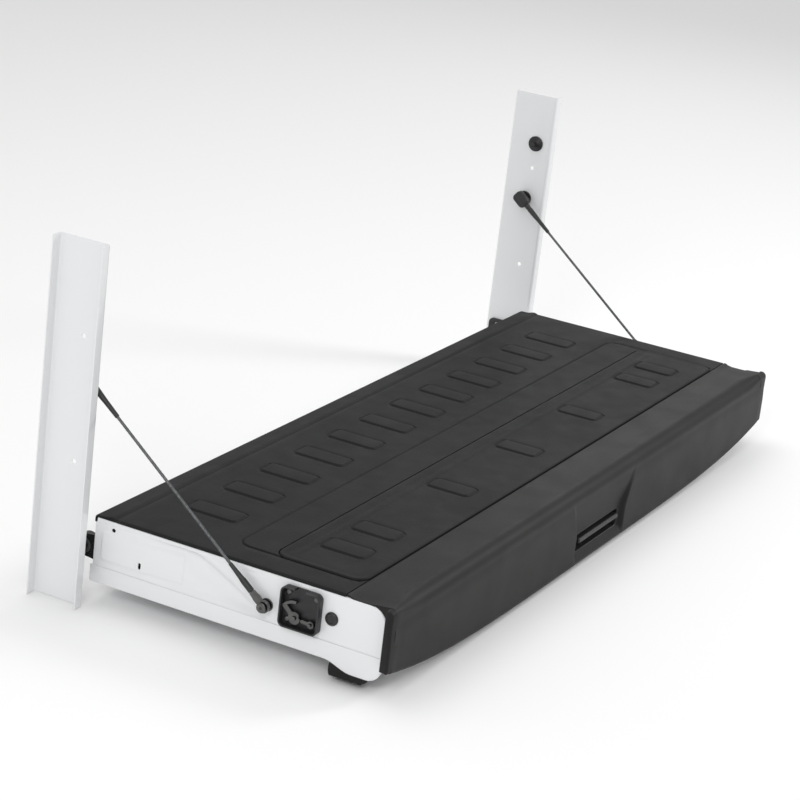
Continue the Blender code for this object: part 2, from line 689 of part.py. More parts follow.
def cable_anchor(side, suffix, body):
    """Stud on the truck's pillar that the cable's clip snaps over."""
    profile = [(0.0, 0.0082), (0.0060, 0.0082), (0.0078, 0.0062), (0.0078, 0.0048), (0.0050, 0.0040),
               (0.0050, 0.0030), (0.0150, 0.0025), (0.0150, 0.0), (0.0, 0.0)]
    place = across(-side, -PILLAR_X, ANCHOR.y, ANCHOR.z)
    return carry(turned("cable_anchor" + suffix, ZINC_STEEL, profile, place), body)


def side_plug(side, suffix, body):
    """Round black plug in the side wall behind the latch."""
    profile = [(0.0, 0.0042), (0.0085, 0.0042), (0.0112, 0.0022), (0.0112, 0.0), (0.0, 0.0)]
    place = across(side, HALF_WIDTH + GAP, -0.458, 0.011)
    return carry(turned("side_plug" + suffix, BLACK_PLASTIC, profile, place), body)


# ---------------------------------------------------------------- handle and release linkage
def handle_bezel(body):
    """Pocket behind the opening in the cap, open to the rear."""
    wall = 0.0025
    front = CAP_FACE_Y + 0.0005
    bezel = box("handle_bezel", BLACK_PLASTIC, (-SLOT_X, SLOT_X), (front, POCKET_Y), SLOT_Z)
    pocket = box("pocket", None, (-SLOT_X + wall, SLOT_X - wall), (front - 0.01, POCKET_Y - wall),
                 (SLOT_Z[0] + wall, SLOT_Z[1] - wall))
    return carry(boolean(bezel, "DIFFERENCE", pocket), body)


def handle_paddle(body):
    """Bar that the fingers lift to free both latches."""
    hub, reach = 0.0045, 0.0200
    nose = (-reach + hub, 0)
    outline = arc((0, 0), hub, -90, 90, 8) + arc(nose, hub, 90, 270, 8)
    bore = arc((0, 0), 0.0023, 0, 330, 11)
    paddle = side_plate("handle_paddle", CAP_PLASTIC, 1, (-0.084, 0.084), [outline, bore],
                        PADDLE_PIVOT.y, PADDLE_PIVOT.z)
    return carry(paddle, body)


def paddle_pin(body):
    ends = (-0.0892, PADDLE_PIVOT.y, PADDLE_PIVOT.z), (0.0892, PADDLE_PIVOT.y, PADDLE_PIVOT.z)
    return carry(rod_between("paddle_pin", ZINC_STEEL, *ends, 0.002), body)


def crank_plane(y):
    """Placement of a flat outline in a plane across Y: its u runs along -X and its v along +Z."""
    stand = Matrix(((-1, 0, 0, 0), (0, 0, 1, 0), (0, 1, 0, 0), (0, 0, 0, 1)))
    return Matrix.Translation((0, y, CRANK_PIVOT.z)) @ stand


def release_linkage(gate, crank):
    """Bracket, pin and crank behind the handle; the crank pulls both rods inwards."""
    bracket = box("crank_bracket", BLACK_STEEL, (-0.030, 0.030), (-0.4995, -0.4975), (-0.034, 0.034))
    carry(bracket, gate)
    pin_ends = (0, -0.5150, 0), (0, -0.4998, 0)
    carry(rod_between("crank_pin", ZINC_STEEL, *pin_ends, 0.003), gate)
    half, top = 0.0075, CRANK_ARM
    outline = arc((0, top), half, 0, 180, 6) + arc((0, 0), 0.011, 150, 210, 4)
    outline += arc((0, -top), half, 180, 360, 6) + arc((0, 0), 0.011, -30, 30, 4)
    holes = [arc((0, 0), 0.0033, 0, 330, 11), arc((0, top), 0.0046, 0, 330, 11),
             arc((0, -top), 0.0046, 0, 330, 11)]
    lever = plate("release_crank", ZINC_STEEL, [outline, *holes], 0.003, crank_plane(CRANK_PIVOT.y))
    carry(lever, crank)


def release_rod(side, suffix, body):
    """Rod from the crank to one latch, with an end hooked through the crank."""
    z = -side * CRANK_ARM
    y = CRANK_PIVOT.y - 0.0055
    path = [(0.0, CRANK_PIVOT.y + 0.0030, z), (0.0, y, z), (side * 0.640, y, z),
            (side * 0.700, y + 0.010, z * 0.8), (side * 0.755, -0.430, -0.006), (side * 0.775, -0.428, -0.006)]
    return carry(tube("rod" + suffix, ZINC_STEEL, path, ROD_R), body)


# ---------------------------------------------------------------- assembly
truck = pivot("truck_mounts", (0, 0, 0))
gate = pivot("gate", (0, 0, 0))
paddle = pivot("paddle_pivot", PADDLE_PIVOT, gate)
crank = pivot("crank_pivot", CRANK_PIVOT, gate)

outer_skin(gate)
inner_panel(gate)
deck_liner(gate)
access_cover(gate)
hinge_end_trim(gate)
top_cap(gate)
outer_trim(gate)
reinforcement_beam(gate)
torsion_assist(gate)
handle_bezel(gate)
paddle_pin(gate)
handle_paddle(paddle)
release_linkage(gate, crank)

for side, suffix in ((-1, "_left"), (1, "_right")):
    hinge_cup(side, suffix, gate)
    hinge_bush(side, suffix, gate)
    latch_housing(side, suffix, gate)
    latch_pin("claw_pin" + suffix, side, CLAW_PIVOT, 0.0035, gate)
    latch_pin("pawl_pin" + suffix, side, PAWL_PIVOT, 0.0025, gate)
    latch_claw(side, suffix, pivot("claw_pivot" + suffix, CLAW_PIVOT, gate))
    latch_pawl(side, suffix, pivot("pawl_pivot" + suffix, PAWL_PIVOT, gate))
    side_plug(side, suffix, gate)
    cable_bolt(side, suffix, gate)
    cable(side, suffix, gate)
    release_rod(side, suffix, pivot("rod_slide" + suffix, (0, CRANK_PIVOT.y, -side * CRANK_ARM), gate))
    pillar_strip(side, suffix, truck)
    hinge_bracket(side, suffix, truck)
    cable_anchor(side, suffix, truck)
    striker(side, suffix, truck)
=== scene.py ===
"""Looks of the drop-down tailgate step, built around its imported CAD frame.

Metres, +Z up, in the frame of the CAD: the origin is the middle of the hinge axis, +X is the
truck's right side and +Y its front, and the gate lies open towards -Y.
"""
import math

import bmesh
import bpy
import numpy as np
from mathutils import Matrix, Vector


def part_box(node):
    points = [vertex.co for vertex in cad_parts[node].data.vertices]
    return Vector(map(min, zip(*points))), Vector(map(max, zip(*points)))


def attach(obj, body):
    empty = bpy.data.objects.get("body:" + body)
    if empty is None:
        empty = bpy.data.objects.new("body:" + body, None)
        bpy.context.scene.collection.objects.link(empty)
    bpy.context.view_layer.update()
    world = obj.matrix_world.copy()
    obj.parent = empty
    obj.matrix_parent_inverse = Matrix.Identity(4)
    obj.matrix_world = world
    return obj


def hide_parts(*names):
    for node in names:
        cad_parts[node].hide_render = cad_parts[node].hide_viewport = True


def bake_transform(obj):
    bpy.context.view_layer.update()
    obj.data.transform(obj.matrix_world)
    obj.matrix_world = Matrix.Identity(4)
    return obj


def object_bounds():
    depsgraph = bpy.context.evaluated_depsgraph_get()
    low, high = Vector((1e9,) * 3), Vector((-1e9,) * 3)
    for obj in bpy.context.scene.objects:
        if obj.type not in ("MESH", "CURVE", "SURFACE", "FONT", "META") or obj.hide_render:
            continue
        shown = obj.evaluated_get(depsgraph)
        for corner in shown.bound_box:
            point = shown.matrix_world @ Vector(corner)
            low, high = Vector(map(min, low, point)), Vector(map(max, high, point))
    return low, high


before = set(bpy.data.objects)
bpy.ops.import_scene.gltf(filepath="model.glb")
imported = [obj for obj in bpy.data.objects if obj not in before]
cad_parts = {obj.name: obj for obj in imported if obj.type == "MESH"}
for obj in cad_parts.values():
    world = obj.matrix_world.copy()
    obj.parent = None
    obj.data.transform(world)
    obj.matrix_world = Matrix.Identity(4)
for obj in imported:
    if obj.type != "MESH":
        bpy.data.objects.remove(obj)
CAD_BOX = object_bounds()

# ---------------- dimensions read from the frame
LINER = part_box("deck_liner")
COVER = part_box("access_cover")
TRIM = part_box("hinge_end_trim")
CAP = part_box("top_cap")
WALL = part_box("inner_panel")
SKIN_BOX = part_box("outer_skin")
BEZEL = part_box("handle_bezel")
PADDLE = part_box("handle_paddle")
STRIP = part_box("pillar_strip_right")
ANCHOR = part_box("cable_anchor_right")
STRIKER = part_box("striker_right")
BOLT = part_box("cable_bolt_right")
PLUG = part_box("side_plug_right")
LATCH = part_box("latch_housing_right")

PAD_RISE = 0.002
HALF_WIDTH = WALL[1].x
CAP_REACH = CAP[1].x
DECK_Z = LINER[1].z - PAD_RISE
COVER_Z = COVER[1].z - PAD_RISE
SHEET = 0.0015                  # pressed steel of the side walls
SKIN = 0.0012                   # pressed steel of the outer skin
HINGE_END_Y = WALL[1].y
WALL_END_Y = WALL[0].y
CAP_FACE_Y = CAP[0].y

# ---------------- design values shared with the CAD
TREAD_Y = (-0.200, -0.108)      # lower row of tread pads
TREAD_COUNT = 12
TREAD_REACH = 0.640             # centre of the outermost pads
TREAD_HALF = 0.021
COVER_PAD_Y = (-0.430, -0.355)
COVER_PAD_X = (-0.630, -0.530, -0.265, 0.0, 0.265, 0.530, 0.630)
COVER_CORNER = 0.025
LIP_END_Z = -0.045              # cap lip at the ends, drawn a little lower than the CAD has it
LIP_DROP = 0.041                # how much lower the lip is on the centre line
LIP_POWER = 4.5
SKIN_EDGE_Z = -0.058            # outer skin at the side walls
SKIN_CROWN = 0.027
HEM_TOP_Z = SKIN_BOX[1].z
CABLE_X = 0.797
CABLE_R = 0.0025
CABLE_PIN = Vector((0.0, -0.3435, 0.0))
CABLE_STUD = Vector((0.0, 0.0195, 0.2895))
BEND_LINK = 0.034
STRAND_DIFFERENCE = 0.054
PADDLE_PIVOT = Vector((0.0, -0.545, -0.044))
PILLAR_HOLES = ((0.012, 0.355), (0.012, 0.147))     # Y and Z

SIDES = ((-1, "_left"), (1, "_right"))

# ---------------- dimensions of the looks alone
SHARP = 32.0                    # degrees: a mesh edge that turns by more is drawn sharp
FINE_STEP = 0.0011              # grid step along the edges of a relief
TREAD_CORNER = 0.007
MOAT_DEPTH = 0.0017             # round the foot of a tread pad
FIELD_X = COVER[1].x            # raised field of the deck, which the cover closes
GROOVE_Y = -0.248               # groove in front of the field
GROOVE_DEPTH = 0.0028
FIELD_Y = (COVER[0].y, GROOVE_Y)
FIELD_RISE = 0.0007
RIDGE_R = (0.0245, 0.0108)      # rounding of the ridge along the cap and at its squarer ends
RIDGE_SET_IN = 0.0010           # the ridge stands this far in front of the cap's rear face
SLOT_X = BEZEL[1].x             # opening for the handle
SLOT_Z = (BEZEL[0].z + 0.0050, BEZEL[1].z - 0.0010)
WALL_TOP = DECK_Z - 0.0052      # the painted walls end below the deck's edge
WALL_CORNER = 0.031             # upper rear corner of a side wall
LOBE_DROP = 0.013               # lobe of the hem over the end of the black strip
CRIMP_END = 0.0303              # where the rope comes out of the eye
CLIP_HEAD = 0.0170              # from the start of the clip's head to the stud
CAMERA_EYE = Vector((-4.049, -2.117, 1.622))
CAMERA_ROLL = math.radians(6.9)


# ---------------- materials
def shader_of(made):
    return made.node_tree.nodes["Principled BSDF"]


def set_inputs(node, values):
    for socket, value in values.items():
        node.inputs[socket].default_value = value


def finish(slot, colour, roughness, metallic=0.0, mottle=(0.05, 0.10), grain=(0.0016, 0.00012),
           polish=0.08, coat=0.0, specular=0.5, wear=0.0):
    """A procedural finish: mottled colour, uneven roughness and a fine relief.

    mottle and grain are (size of the pattern, its amount); grain's amount is a height in metres.
    polish is how far the roughness wanders, and wear lightens the edges that hands and boots reach.
    """
    made = bpy.data.materials.new(slot + "_look")
    made.use_nodes = True
    made["slot"] = slot
    nodes, links = made.node_tree.nodes, made.node_tree.links
    shader = shader_of(made)
    set_inputs(shader, {"Metallic": metallic, "Specular IOR Level": specular, "Coat Weight": coat,
                        "Coat Roughness": 0.06})
    place = nodes.new("ShaderNodeTexCoord").outputs["Object"]

    def noise(size, detail, seed):
        texture = nodes.new("ShaderNodeTexNoise")
        texture.noise_dimensions = "4D"
        set_inputs(texture, {"W": seed, "Scale": 1.0 / size, "Detail": detail})
        links.new(place, texture.inputs["Vector"])
        return texture.outputs["Fac"]

    def remap(value, old_span, new_span):
        node = nodes.new("ShaderNodeMapRange")
        sockets = ("From Min", "From Max", "To Min", "To Max")
        set_inputs(node, dict(zip(sockets, (*old_span, *new_span))))
        links.new(value, node.inputs["Value"])
        return node.outputs["Result"]

    tint = nodes.new("ShaderNodeVectorMath")
    tint.operation = "SCALE"
    tint.inputs[0].default_value = colour
    patches = noise(mottle[0], 5.0, 1.7)
    links.new(remap(patches, (0.3, 0.7), (1 - mottle[1], 1 + mottle[1])), tint.inputs["Scale"])
    base = tint.outputs["Vector"]
    if wear:
        edges = nodes.new("ShaderNodeNewGeometry").outputs["Pointiness"]
        mix = nodes.new("ShaderNodeMix")
        mix.data_type = "RGBA"
        links.new(remap(edges, (0.52, 0.62), (0.0, wear)), mix.inputs["Factor"])
        links.new(base, mix.inputs["A"])
        mix.inputs["B"].default_value = (*[min(1.0, 2.2 * c + 0.03) for c in colour], 1.0)
        base = mix.outputs["Result"]
    links.new(base, shader.inputs["Base Color"])

    smears = noise(mottle[0] * 0.4, 4.0, 5.1)
    limits = max(roughness - polish, 0.02), min(roughness + polish, 1.0)
    links.new(remap(smears, (0.0, 1.0), limits), shader.inputs["Roughness"])

    bump = nodes.new("ShaderNodeBump")
    set_inputs(bump, {"Strength": 0.8, "Distance": grain[1]})
    links.new(noise(grain[0], 3.0, 9.3), bump.inputs["Height"])
    links.new(bump.outputs["Normal"], shader.inputs["Normal"])
    return made


WHITE_PAINT = finish("white_paint", (0.80, 0.81, 0.82), 0.30, mottle=(0.35, 0.012),
                     grain=(0.009, 0.00003), polish=0.05, coat=0.7)
DECK_PLASTIC = finish("deck_plastic", (0.0105, 0.0105, 0.011), 0.58, mottle=(0.11, 0.16),
                      grain=(0.0028, 0.0005), polish=0.10, specular=0.17, wear=0.30)
CAP_PLASTIC = finish("cap_plastic", (0.0120, 0.0113, 0.0110), 0.50, mottle=(0.16, 0.10),
                     grain=(0.0022, 0.00030), polish=0.08, specular=0.19, wear=0.22)
BLACK_PLASTIC = finish("black_plastic", (0.014, 0.014, 0.015), 0.42, mottle=(0.02, 0.12),
                       grain=(0.0011, 0.00010), polish=0.10, wear=0.30)
BLACK_STEEL = finish("black_steel", (0.026, 0.026, 0.028), 0.38, 0.35, mottle=(0.012, 0.20),
                     grain=(0.0022, 0.00008), polish=0.12, wear=0.45)
ZINC_STEEL = finish("zinc_steel", (0.125, 0.125, 0.122), 0.36, 1.0, mottle=(0.010, 0.16),
                    grain=(0.0010, 0.00005), polish=0.12)
CABLE_STEEL = finish("cable_steel", (0.12, 0.123, 0.126), 0.42, 1.0, mottle=(0.006, 0.22),
                     grain=(0.0006, 0.00005), polish=0.12)
BUSH_NYLON = finish("bush_nylon", (0.09, 0.09, 0.088), 0.46, mottle=(0.01, 0.10),
                    grain=(0.0008, 0.00006))


# ---------------- building pieces
def shade(mesh, sharp=SHARP):
    """Smooth shading but for the edges that turn by more than sharp degrees."""
    mesh.shade_smooth()
    mesh.set_sharp_from_angle(angle=math.radians(sharp))


def new_object(name, data):
    made = bpy.data.objects.new(name, data)
    bpy.context.scene.collection.objects.link(made)
    return made


def mesh_of(name, bm):
    mesh = bpy.data.meshes.new(name)
    bmesh.ops.recalc_face_normals(bm, faces=bm.faces[:])
    bm.to_mesh(mesh)
    bm.free()
    return mesh


def add_piece(name, bm, look, body, replaces=(), sharp=SHARP):
    mesh = mesh_of(name, bm)
    mesh.materials.append(look)
    shade(mesh, sharp)
    obj = new_object(name, mesh)
    if body:
        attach(obj, body)
    if replaces:
        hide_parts(*replaces)
    return obj


def settle(obj):
    """Turn an object's modifiers into plain mesh."""
    bpy.context.view_layer.update()
    ready = obj.evaluated_get(bpy.context.evaluated_depsgraph_get())
    mesh = bpy.data.meshes.new_from_object(ready)
    obj.modifiers.clear()
    obj.data = mesh
    shade(mesh)
    return obj


def cut(obj, bm):
    """Take the shape in bm out of the object."""
    cutter = new_object("cutter", mesh_of("cutter", bm))
    step = obj.modifiers.new("cut", "BOOLEAN")
    step.operation = "DIFFERENCE"
    step.object = cutter
    settle(obj)
    bpy.data.objects.remove(cutter, do_unlink=True)


def stitch(bm, near, far, closed=True):
    """Faces between two rows of the same number of points."""
    count = len(near)
    for k in range(count if closed else count - 1):
        after = (k + 1) % count
        bm.faces.new((near[k], near[after], far[after], far[k]))


def loft(bm, rows, closed=True):
    """Skin a list of rows of points; closed rows are rings, and the end rings are filled."""
    rings = [[bm.verts.new(point) for point in row] for row in rows]
    for near, far in zip(rings, rings[1:]):
        stitch(bm, near, far, closed)
    if closed:
        bm.faces.new(rings[0])
        bm.faces.new(rings[-1])


def loft_piece(name, rings, look, body, replaces, sharp=SHARP):
    bm = bmesh.new()
    loft(bm, rings)
    return add_piece(name, bm, look, body, replaces, sharp)


def grid_lines(low, high, coarse, zones=(), fine=FINE_STEP):
    """Grid lines from low to high, closer together inside the zones."""
    marks = sorted({low, high, *[m for zone in zones for m in zone if low < m < high]})
    found = [low]
    for a, b in zip(marks, marks[1:]):
        middle = (a + b) / 2
        step = fine if any(z0 <= middle <= z1 for z0, z1 in zones) else coarse
        count = max(1, math.ceil((b - a) / step))
        found += [a + (b - a) * k / count for k in range(1, count + 1)]
    return np.array(found)


def edge_zones(places, before, after):
    """Zones that reach a distance before and after each place."""
    return [(p - before, p + after) for p in places]


def ease(value, start, end):
    """0 before start and 1 after end, with a soft S between them."""
    t = np.clip((np.asarray(value) - start) / (end - start), 0.0, 1.0)
    return t * t * (3 - 2 * t)


def ridge(value, centre, half):
    """A smooth hump of height 1 that ends half a width away on either side."""
    t = np.clip(np.abs(np.asarray(value) - centre) / half, 0.0, 1.0)
    return 0.5 + 0.5 * np.cos(math.pi * t)


def roll(distance, radius):
    """How far an edge that is rounded to radius has dropped, at a distance inside the edge."""
    t = np.clip(1 - np.asarray(distance) / radius, 0.0, 1.0)
    return radius * (1 - np.sqrt(1 - t * t))


def depth_in(x, y, x_span, y_span, corner):
    """Distance inside a rounded rectangle; negative outside it."""
    dx = np.abs(x - sum(x_span) / 2) - (x_span[1] - x_span[0]) / 2 + corner
    dy = np.abs(y - sum(y_span) / 2) - (y_span[1] - y_span[0]) / 2 + corner
    outside = np.hypot(np.maximum(dx, 0), np.maximum(dy, 0))
    return corner - outside - np.minimum(np.maximum(dx, dy), 0)


def relief(name, points, base, look, body, replaces):
    """A closed body from a grid of surface points and the matching points of its plain back.

    points and base are arrays of shape (rows, columns, 3).
    """
    bm = bmesh.new()
    top = [[bm.verts.new(p) for p in row] for row in points]
    for near, far in zip(top, top[1:]):
        stitch(bm, near, far, closed=False)
    rows, columns = len(points), len(points[0])
    rim = [(0, k) for k in range(columns)]
    rim += [(k, columns - 1) for k in range(1, rows)]
    rim += [(rows - 1, k) for k in range(columns - 2, -1, -1)]
    rim += [(k, 0) for k in range(rows - 2, 0, -1)]
    lower = [bm.verts.new(base[i][j]) for i, j in rim]
    stitch(bm, [top[i][j] for i, j in rim], lower)
    bm.faces.new(lower)
    add_piece(name, bm, look, body, replaces)


def pressed_sheet(name, rows, look, body, towards, thickness, replaces=(), asked=None):
    """A sheet through rows of points, thickened behind the side that looks towards a direction.

    asked is the index of the face that says which way the sheet looks; by default the middle one.
    """
    bm = bmesh.new()
    loft(bm, rows, closed=False)
    sheet = add_piece(name, bm, look, body, replaces)
    faces = sheet.data.polygons
    face = faces[len(faces) // 2 if asked is None else asked]
    if face.normal.dot(Vector(towards)) < 0:
        sheet.data.flip_normals()
    shell = sheet.modifiers.new("shell", "SOLIDIFY")
    shell.thickness = thickness
    shell.offset = -1.0
    shell.use_even_offset = True
    return settle(sheet)


def rounded_outline(u_span, v_span, corner, inset=0.0, steps=6):
    """Points round a rounded rectangle, pulled in by inset."""
    (u0, u1), (v0, v1) = u_span, v_span
    radius = max(corner - inset, 0.0002)
    u0, u1, v0, v1 = u0 + inset, u1 - inset, v0 + inset, v1 - inset
    corners = (((u1 - radius, v0 + radius), -90), ((u1 - radius, v1 - radius), 0),
               ((u0 + radius, v1 - radius), 90), ((u0 + radius, v0 + radius), 180))
    return [p for centre, start in corners for p in arc(centre, radius, start, start + 90, steps)]


def arc(centre, radius, start, end, steps):
    """Points on an arc between two angles in degrees."""
    turns = [math.radians(start + (end - start) * k / steps) for k in range(steps + 1)]
    return [(centre[0] + radius * math.cos(t), centre[1] + radius * math.sin(t)) for t in turns]


def capped(end, middle):
    """(x, amount) stations across the gate: a left end, plain ones between, and its mirror image."""
    return end + [(x, 0.0) for x in middle] + [(-x, amount) for x, amount in reversed(end)]


def stack(bm, u_span, v_span, corner, stations, place, steps=6):
    """Rings of a rounded rectangle at (inset, height) stations, closed at both ends."""
    rows = []
    for inset, height in stations:
        outline = rounded_outline(u_span, v_span, corner, inset, steps)
        rows.append([place(u, v, height) for u, v in outline])
    loft(bm, rows)


def cut_slot(obj, u_span, v_span, corner, depths, place):
    """Cut a hole with a rounded outline between two depths."""
    slot = bmesh.new()
    stack(slot, u_span, v_span, corner, [(0.0, depth) for depth in depths], place)
    cut(obj, slot)


def rear_place(u, v, height):
    """Outline in the X-Z plane, height along Y."""
    return u, height, v


def side_place(side):
    """Outline in the Y-Z plane, height along the gate's outward X."""
    return lambda u, v, height: (side * height, u, v)


def turned(bm, profile, place, facets=48):
    """Turn a profile of (radius, height) about the local Z of place, with flat ends."""
    rows = []
    for radius, height in profile:
        ring = [(radius * math.cos(t), radius * math.sin(t), height)
                for t in np.linspace(0, 2 * math.pi, facets, endpoint=False)]
        rows.append([place @ Vector(p) for p in ring])
    loft(bm, rows)


def turned_piece(name, profile, look, body, place, replaces=(), facets=48):
    bm = bmesh.new()
    turned(bm, profile, place, facets)
    add_piece(name, bm, look, body, replaces)


def drill(obj, place, radius, facets):
    """Drill a round hole through a sheet, along the local Z of place."""
    hole = bmesh.new()
    turned(hole, [(radius, -0.02), (radius, 0.02)], place, facets)
    cut(obj, hole)


def outward(side, x, y, z):
    """Placement whose local Z points along +X for side 1 and along -X for side -1."""
    turn = Matrix.Rotation(side * math.pi / 2, 4, "Y")
    return Matrix.Translation((x, y, z)) @ turn


def hex_recess_head(bm, place, radius, height, socket):
    """Domed screw head with a hexagon socket."""
    turned(bm, [(radius, 0.0), (radius, height * 0.35), (radius * 0.93, height * 0.65),
                (radius * 0.75, height * 0.88), (radius * 0.55, height)], place, 24)
    walls = [[place @ Vector((socket * r * math.cos(t), socket * r * math.sin(t), z))
              for t in np.linspace(0, 2 * math.pi, 6, endpoint=False)]
             for r, z in ((1.0, height + 0.00005), (0.92, height * 0.97), (0.9, height * 0.99))]
    loft(bm, walls)


# ---------------- deck
def tread_row(x, y, centres, y_span):
    """Raised pads with soft tops and a narrow moat at their foot."""
    found = np.zeros_like(x)
    for centre in centres:
        depth = depth_in(x, y, (centre - TREAD_HALF, centre + TREAD_HALF), y_span, TREAD_CORNER)
        found += PAD_RISE * (0.85 * ease(depth, -0.0008, 0.0012) + 0.15 * ease(depth, 0.001, 0.009))
        found -= MOAT_DEPTH * ridge(depth, -0.0032, 0.0030)
    return found


def tread_zones(centres, y_span):
    """Strips of the grid, across and along, that a row of pads needs finely divided."""
    edges = [c + s * TREAD_HALF for c in centres for s in (-1, 1)]
    return edge_zones(edges, 0.0065, 0.0065), edge_zones(y_span, 0.0065, 0.0065)


def deck_mat():
    """Moulded liner with a recess for the cover, a groove round the raised field and twelve pads."""
    centres = np.linspace(-TREAD_REACH, TREAD_REACH, TREAD_COUNT)
    x_zones, y_zones = tread_zones(centres, TREAD_Y)
    inside, outside = 0.028, 0.004      # how far the field's edge and groove reach to either side
    edge = 0.0035
    x_zones += [(-FIELD_X - outside, -FIELD_X + inside), (FIELD_X - inside, FIELD_X + outside),
                (-HALF_WIDTH, -HALF_WIDTH + edge), (HALF_WIDTH - edge, HALF_WIDTH)]
    y_zones += [(GROOVE_Y - inside, GROOVE_Y + outside), (COVER[1].y - inside, COVER[1].y + outside),
                (COVER[0].y - 0.002, COVER[0].y + 0.002)]
    xs = grid_lines(-HALF_WIDTH, HALF_WIDTH, 0.014, x_zones)
    ys = grid_lines(LINER[0].y, LINER[1].y, 0.012, y_zones)
    x, y = np.meshgrid(xs, ys, indexing="ij")
    z = DECK_Z + tread_row(x, y, centres, TREAD_Y)
    field = depth_in(x, y, (-FIELD_X, FIELD_X), FIELD_Y, COVER_CORNER)
    z += FIELD_RISE * ease(field, -0.001, 0.003) - GROOVE_DEPTH * ridge(field, -0.0006, 0.0032)
    z += 0.0006 * ridge(x, 0.0, 0.80) * ease(y, -0.23, -0.10)
    hollow = depth_in(x, y, (-FIELD_X, FIELD_X), (COVER[0].y, COVER[1].y), COVER_CORNER)
    z = np.where(hollow > -0.0012, LINER[0].z + 0.0012, z)
    z -= roll(HALF_WIDTH - np.abs(x), edge)
    base = np.stack([x, y, np.full_like(x, LINER[0].z)], axis=-1)
    relief("deck_mat", np.stack([x, y, z], axis=-1), base, DECK_PLASTIC, "gate", ["deck_liner"])


def cover_plate():
    """Cover over the latch rods: rounded all round, a double ridge in front and seven pads."""
    low, high = COVER
    edge = 0.0030
    inner_x, inner_y = high.x - COVER_CORNER, (low.y + COVER_CORNER, high.y - COVER_CORNER)
    x_zones, y_zones = tread_zones(COVER_PAD_X, COVER_PAD_Y)
    xs = grid_lines(-inner_x, inner_x, 0.014, x_zones)
    ys = grid_lines(*inner_y, 0.006, y_zones)

    def height(x, y):
        inside = depth_in(x, y, (low.x, high.x), (low.y, high.y), COVER_CORNER)
        z = COVER_Z + tread_row(x, y, COVER_PAD_X, COVER_PAD_Y)
        front = high.y - y
        along = ease(FIELD_X - np.abs(x), 0.012, 0.045)
        z += 0.0024 * ridge(front, 0.0090, 0.0085) * along
        z += 0.0018 * ridge(front, 0.0290, 0.0085) * along
        z -= 0.0006 * ridge(inside, 0.0100, 0.0030) * (1 - along)
        return z - roll(inside, edge)

    bm = bmesh.new()
    made = {}

    def vertex(x, y):
        key = round(float(x), 7), round(float(y), 7)
        if key not in made:
            made[key] = bm.verts.new((x, y, float(height(x, y))))
        return made[key]

    for x0, x1 in zip(xs, xs[1:]):
        for y0, y1 in zip(ys, ys[1:]):
            bm.faces.new((vertex(x0, y0), vertex(x1, y0), vertex(x1, y1), vertex(x0, y1)))
    steps = 10

    def ring(reach):
        """Vertices round the inner grid at a distance from it, with rounded corners."""
        found = [(x, ys[0] - reach) for x in xs]
        found += arc((xs[-1], ys[0]), reach, -90, 0, steps)[1:-1]
        found += [(xs[-1] + reach, y) for y in ys]
        found += arc((xs[-1], ys[-1]), reach, 0, 90, steps)[1:-1]
        found += [(x, ys[-1] + reach) for x in xs[::-1]]
        found += arc((xs[0], ys[-1]), reach, 90, 180, steps)[1:-1]
        found += [(xs[0] - reach, y) for y in ys[::-1]]
        found += arc((xs[0], ys[0]), reach, 180, 270, steps)[1:-1]
        return [vertex(*p) for p in found]

    reaches = (0.0, 0.0075, 0.0135, 0.0165, 0.019, 0.0215, 0.0222, 0.0232, 0.0241, 0.0247, COVER_CORNER)
    rings = [ring(reach) for reach in reaches]
    for near, far in zip(rings, rings[1:]):
        for a, b, c, d in zip(near, near[1:] + near[:1], far[1:] + far[:1], far):
            corners = list(dict.fromkeys((a, b, c, d)))
            if len(corners) > 2:
                bm.faces.new(corners)
    under = [bm.verts.new((v.co.x, v.co.y, low.z + 0.0002)) for v in rings[-1]]
    stitch(bm, rings[-1], under)
    bm.faces.new(under)
    add_piece("cover_plate", bm, DECK_PLASTIC, "gate", ["access_cover"])


def edge_moulding():
    """Rounded moulding over the edge beside the load bed: a crest, then a slope to a full nose."""
    low, high = TRIM
    crest, nose = high.z, 0.0048
    section = [(low.y, DECK_Z - 0.005), (low.y, DECK_Z - 0.0006), (low.y + 0.0012, DECK_Z),
               (low.y + 0.0040, crest - 0.0004), (low.y + 0.0075, crest),
               (low.y + 0.0110, crest - 0.0002), (high.y - 0.0180, crest - 0.0032)]
    section += arc((high.y - nose, crest - 0.0040 - nose), nose, 78, 0, 7)
    section += [(high.y, low.z + 0.0020), (high.y - 0.0008, low.z), (high.y - 0.0024, low.z),
                (high.y - 0.0030, low.z + 0.0008), (high.y - 0.0030, DECK_Z - 0.005)]
    centre = Vector(((low.y + high.y) / 2, DECK_Z - 0.004))
    end = [(-HALF_WIDTH + along, shrink)
           for along, shrink in ((0.0, 0.0034), (0.0003, 0.0020), (0.0012, 0.0008), (0.0035, 0.0))]
    rings = []
    for x, shrink in capped(end, np.linspace(-HALF_WIDTH + 0.05, HALF_WIDTH - 0.05, 30)):
        ring = []
        for point in section:
            away = Vector(point) - centre
            ring.append((x, *(centre + away * (1 - shrink / max(away.length, 0.004)))))
        rings.append(ring)
    loft_piece("edge_moulding", rings, DECK_PLASTIC, "gate", ["hinge_end_trim"])


# ---------------- top cap
def lip_z(x):
    """Lower edge of the cap's rear face, deepest on the centre line."""
    return LIP_END_Z - LIP_DROP * (1 - np.minimum(np.abs(x) / CAP_REACH, 1.0) ** LIP_POWER)


def skin_z(x, y):
    """Outer face of the skin: crowned across the width and drawn up to meet the cap's lip."""
    plain = SKIN_EDGE_Z - SKIN_CROWN * (1 - np.minimum(np.abs(x) / HALF_WIDTH, 1.0) ** 4)
    return plain + (lip_z(x) + 0.004 - plain) * ease(-0.515 - y, 0.0, 0.040)


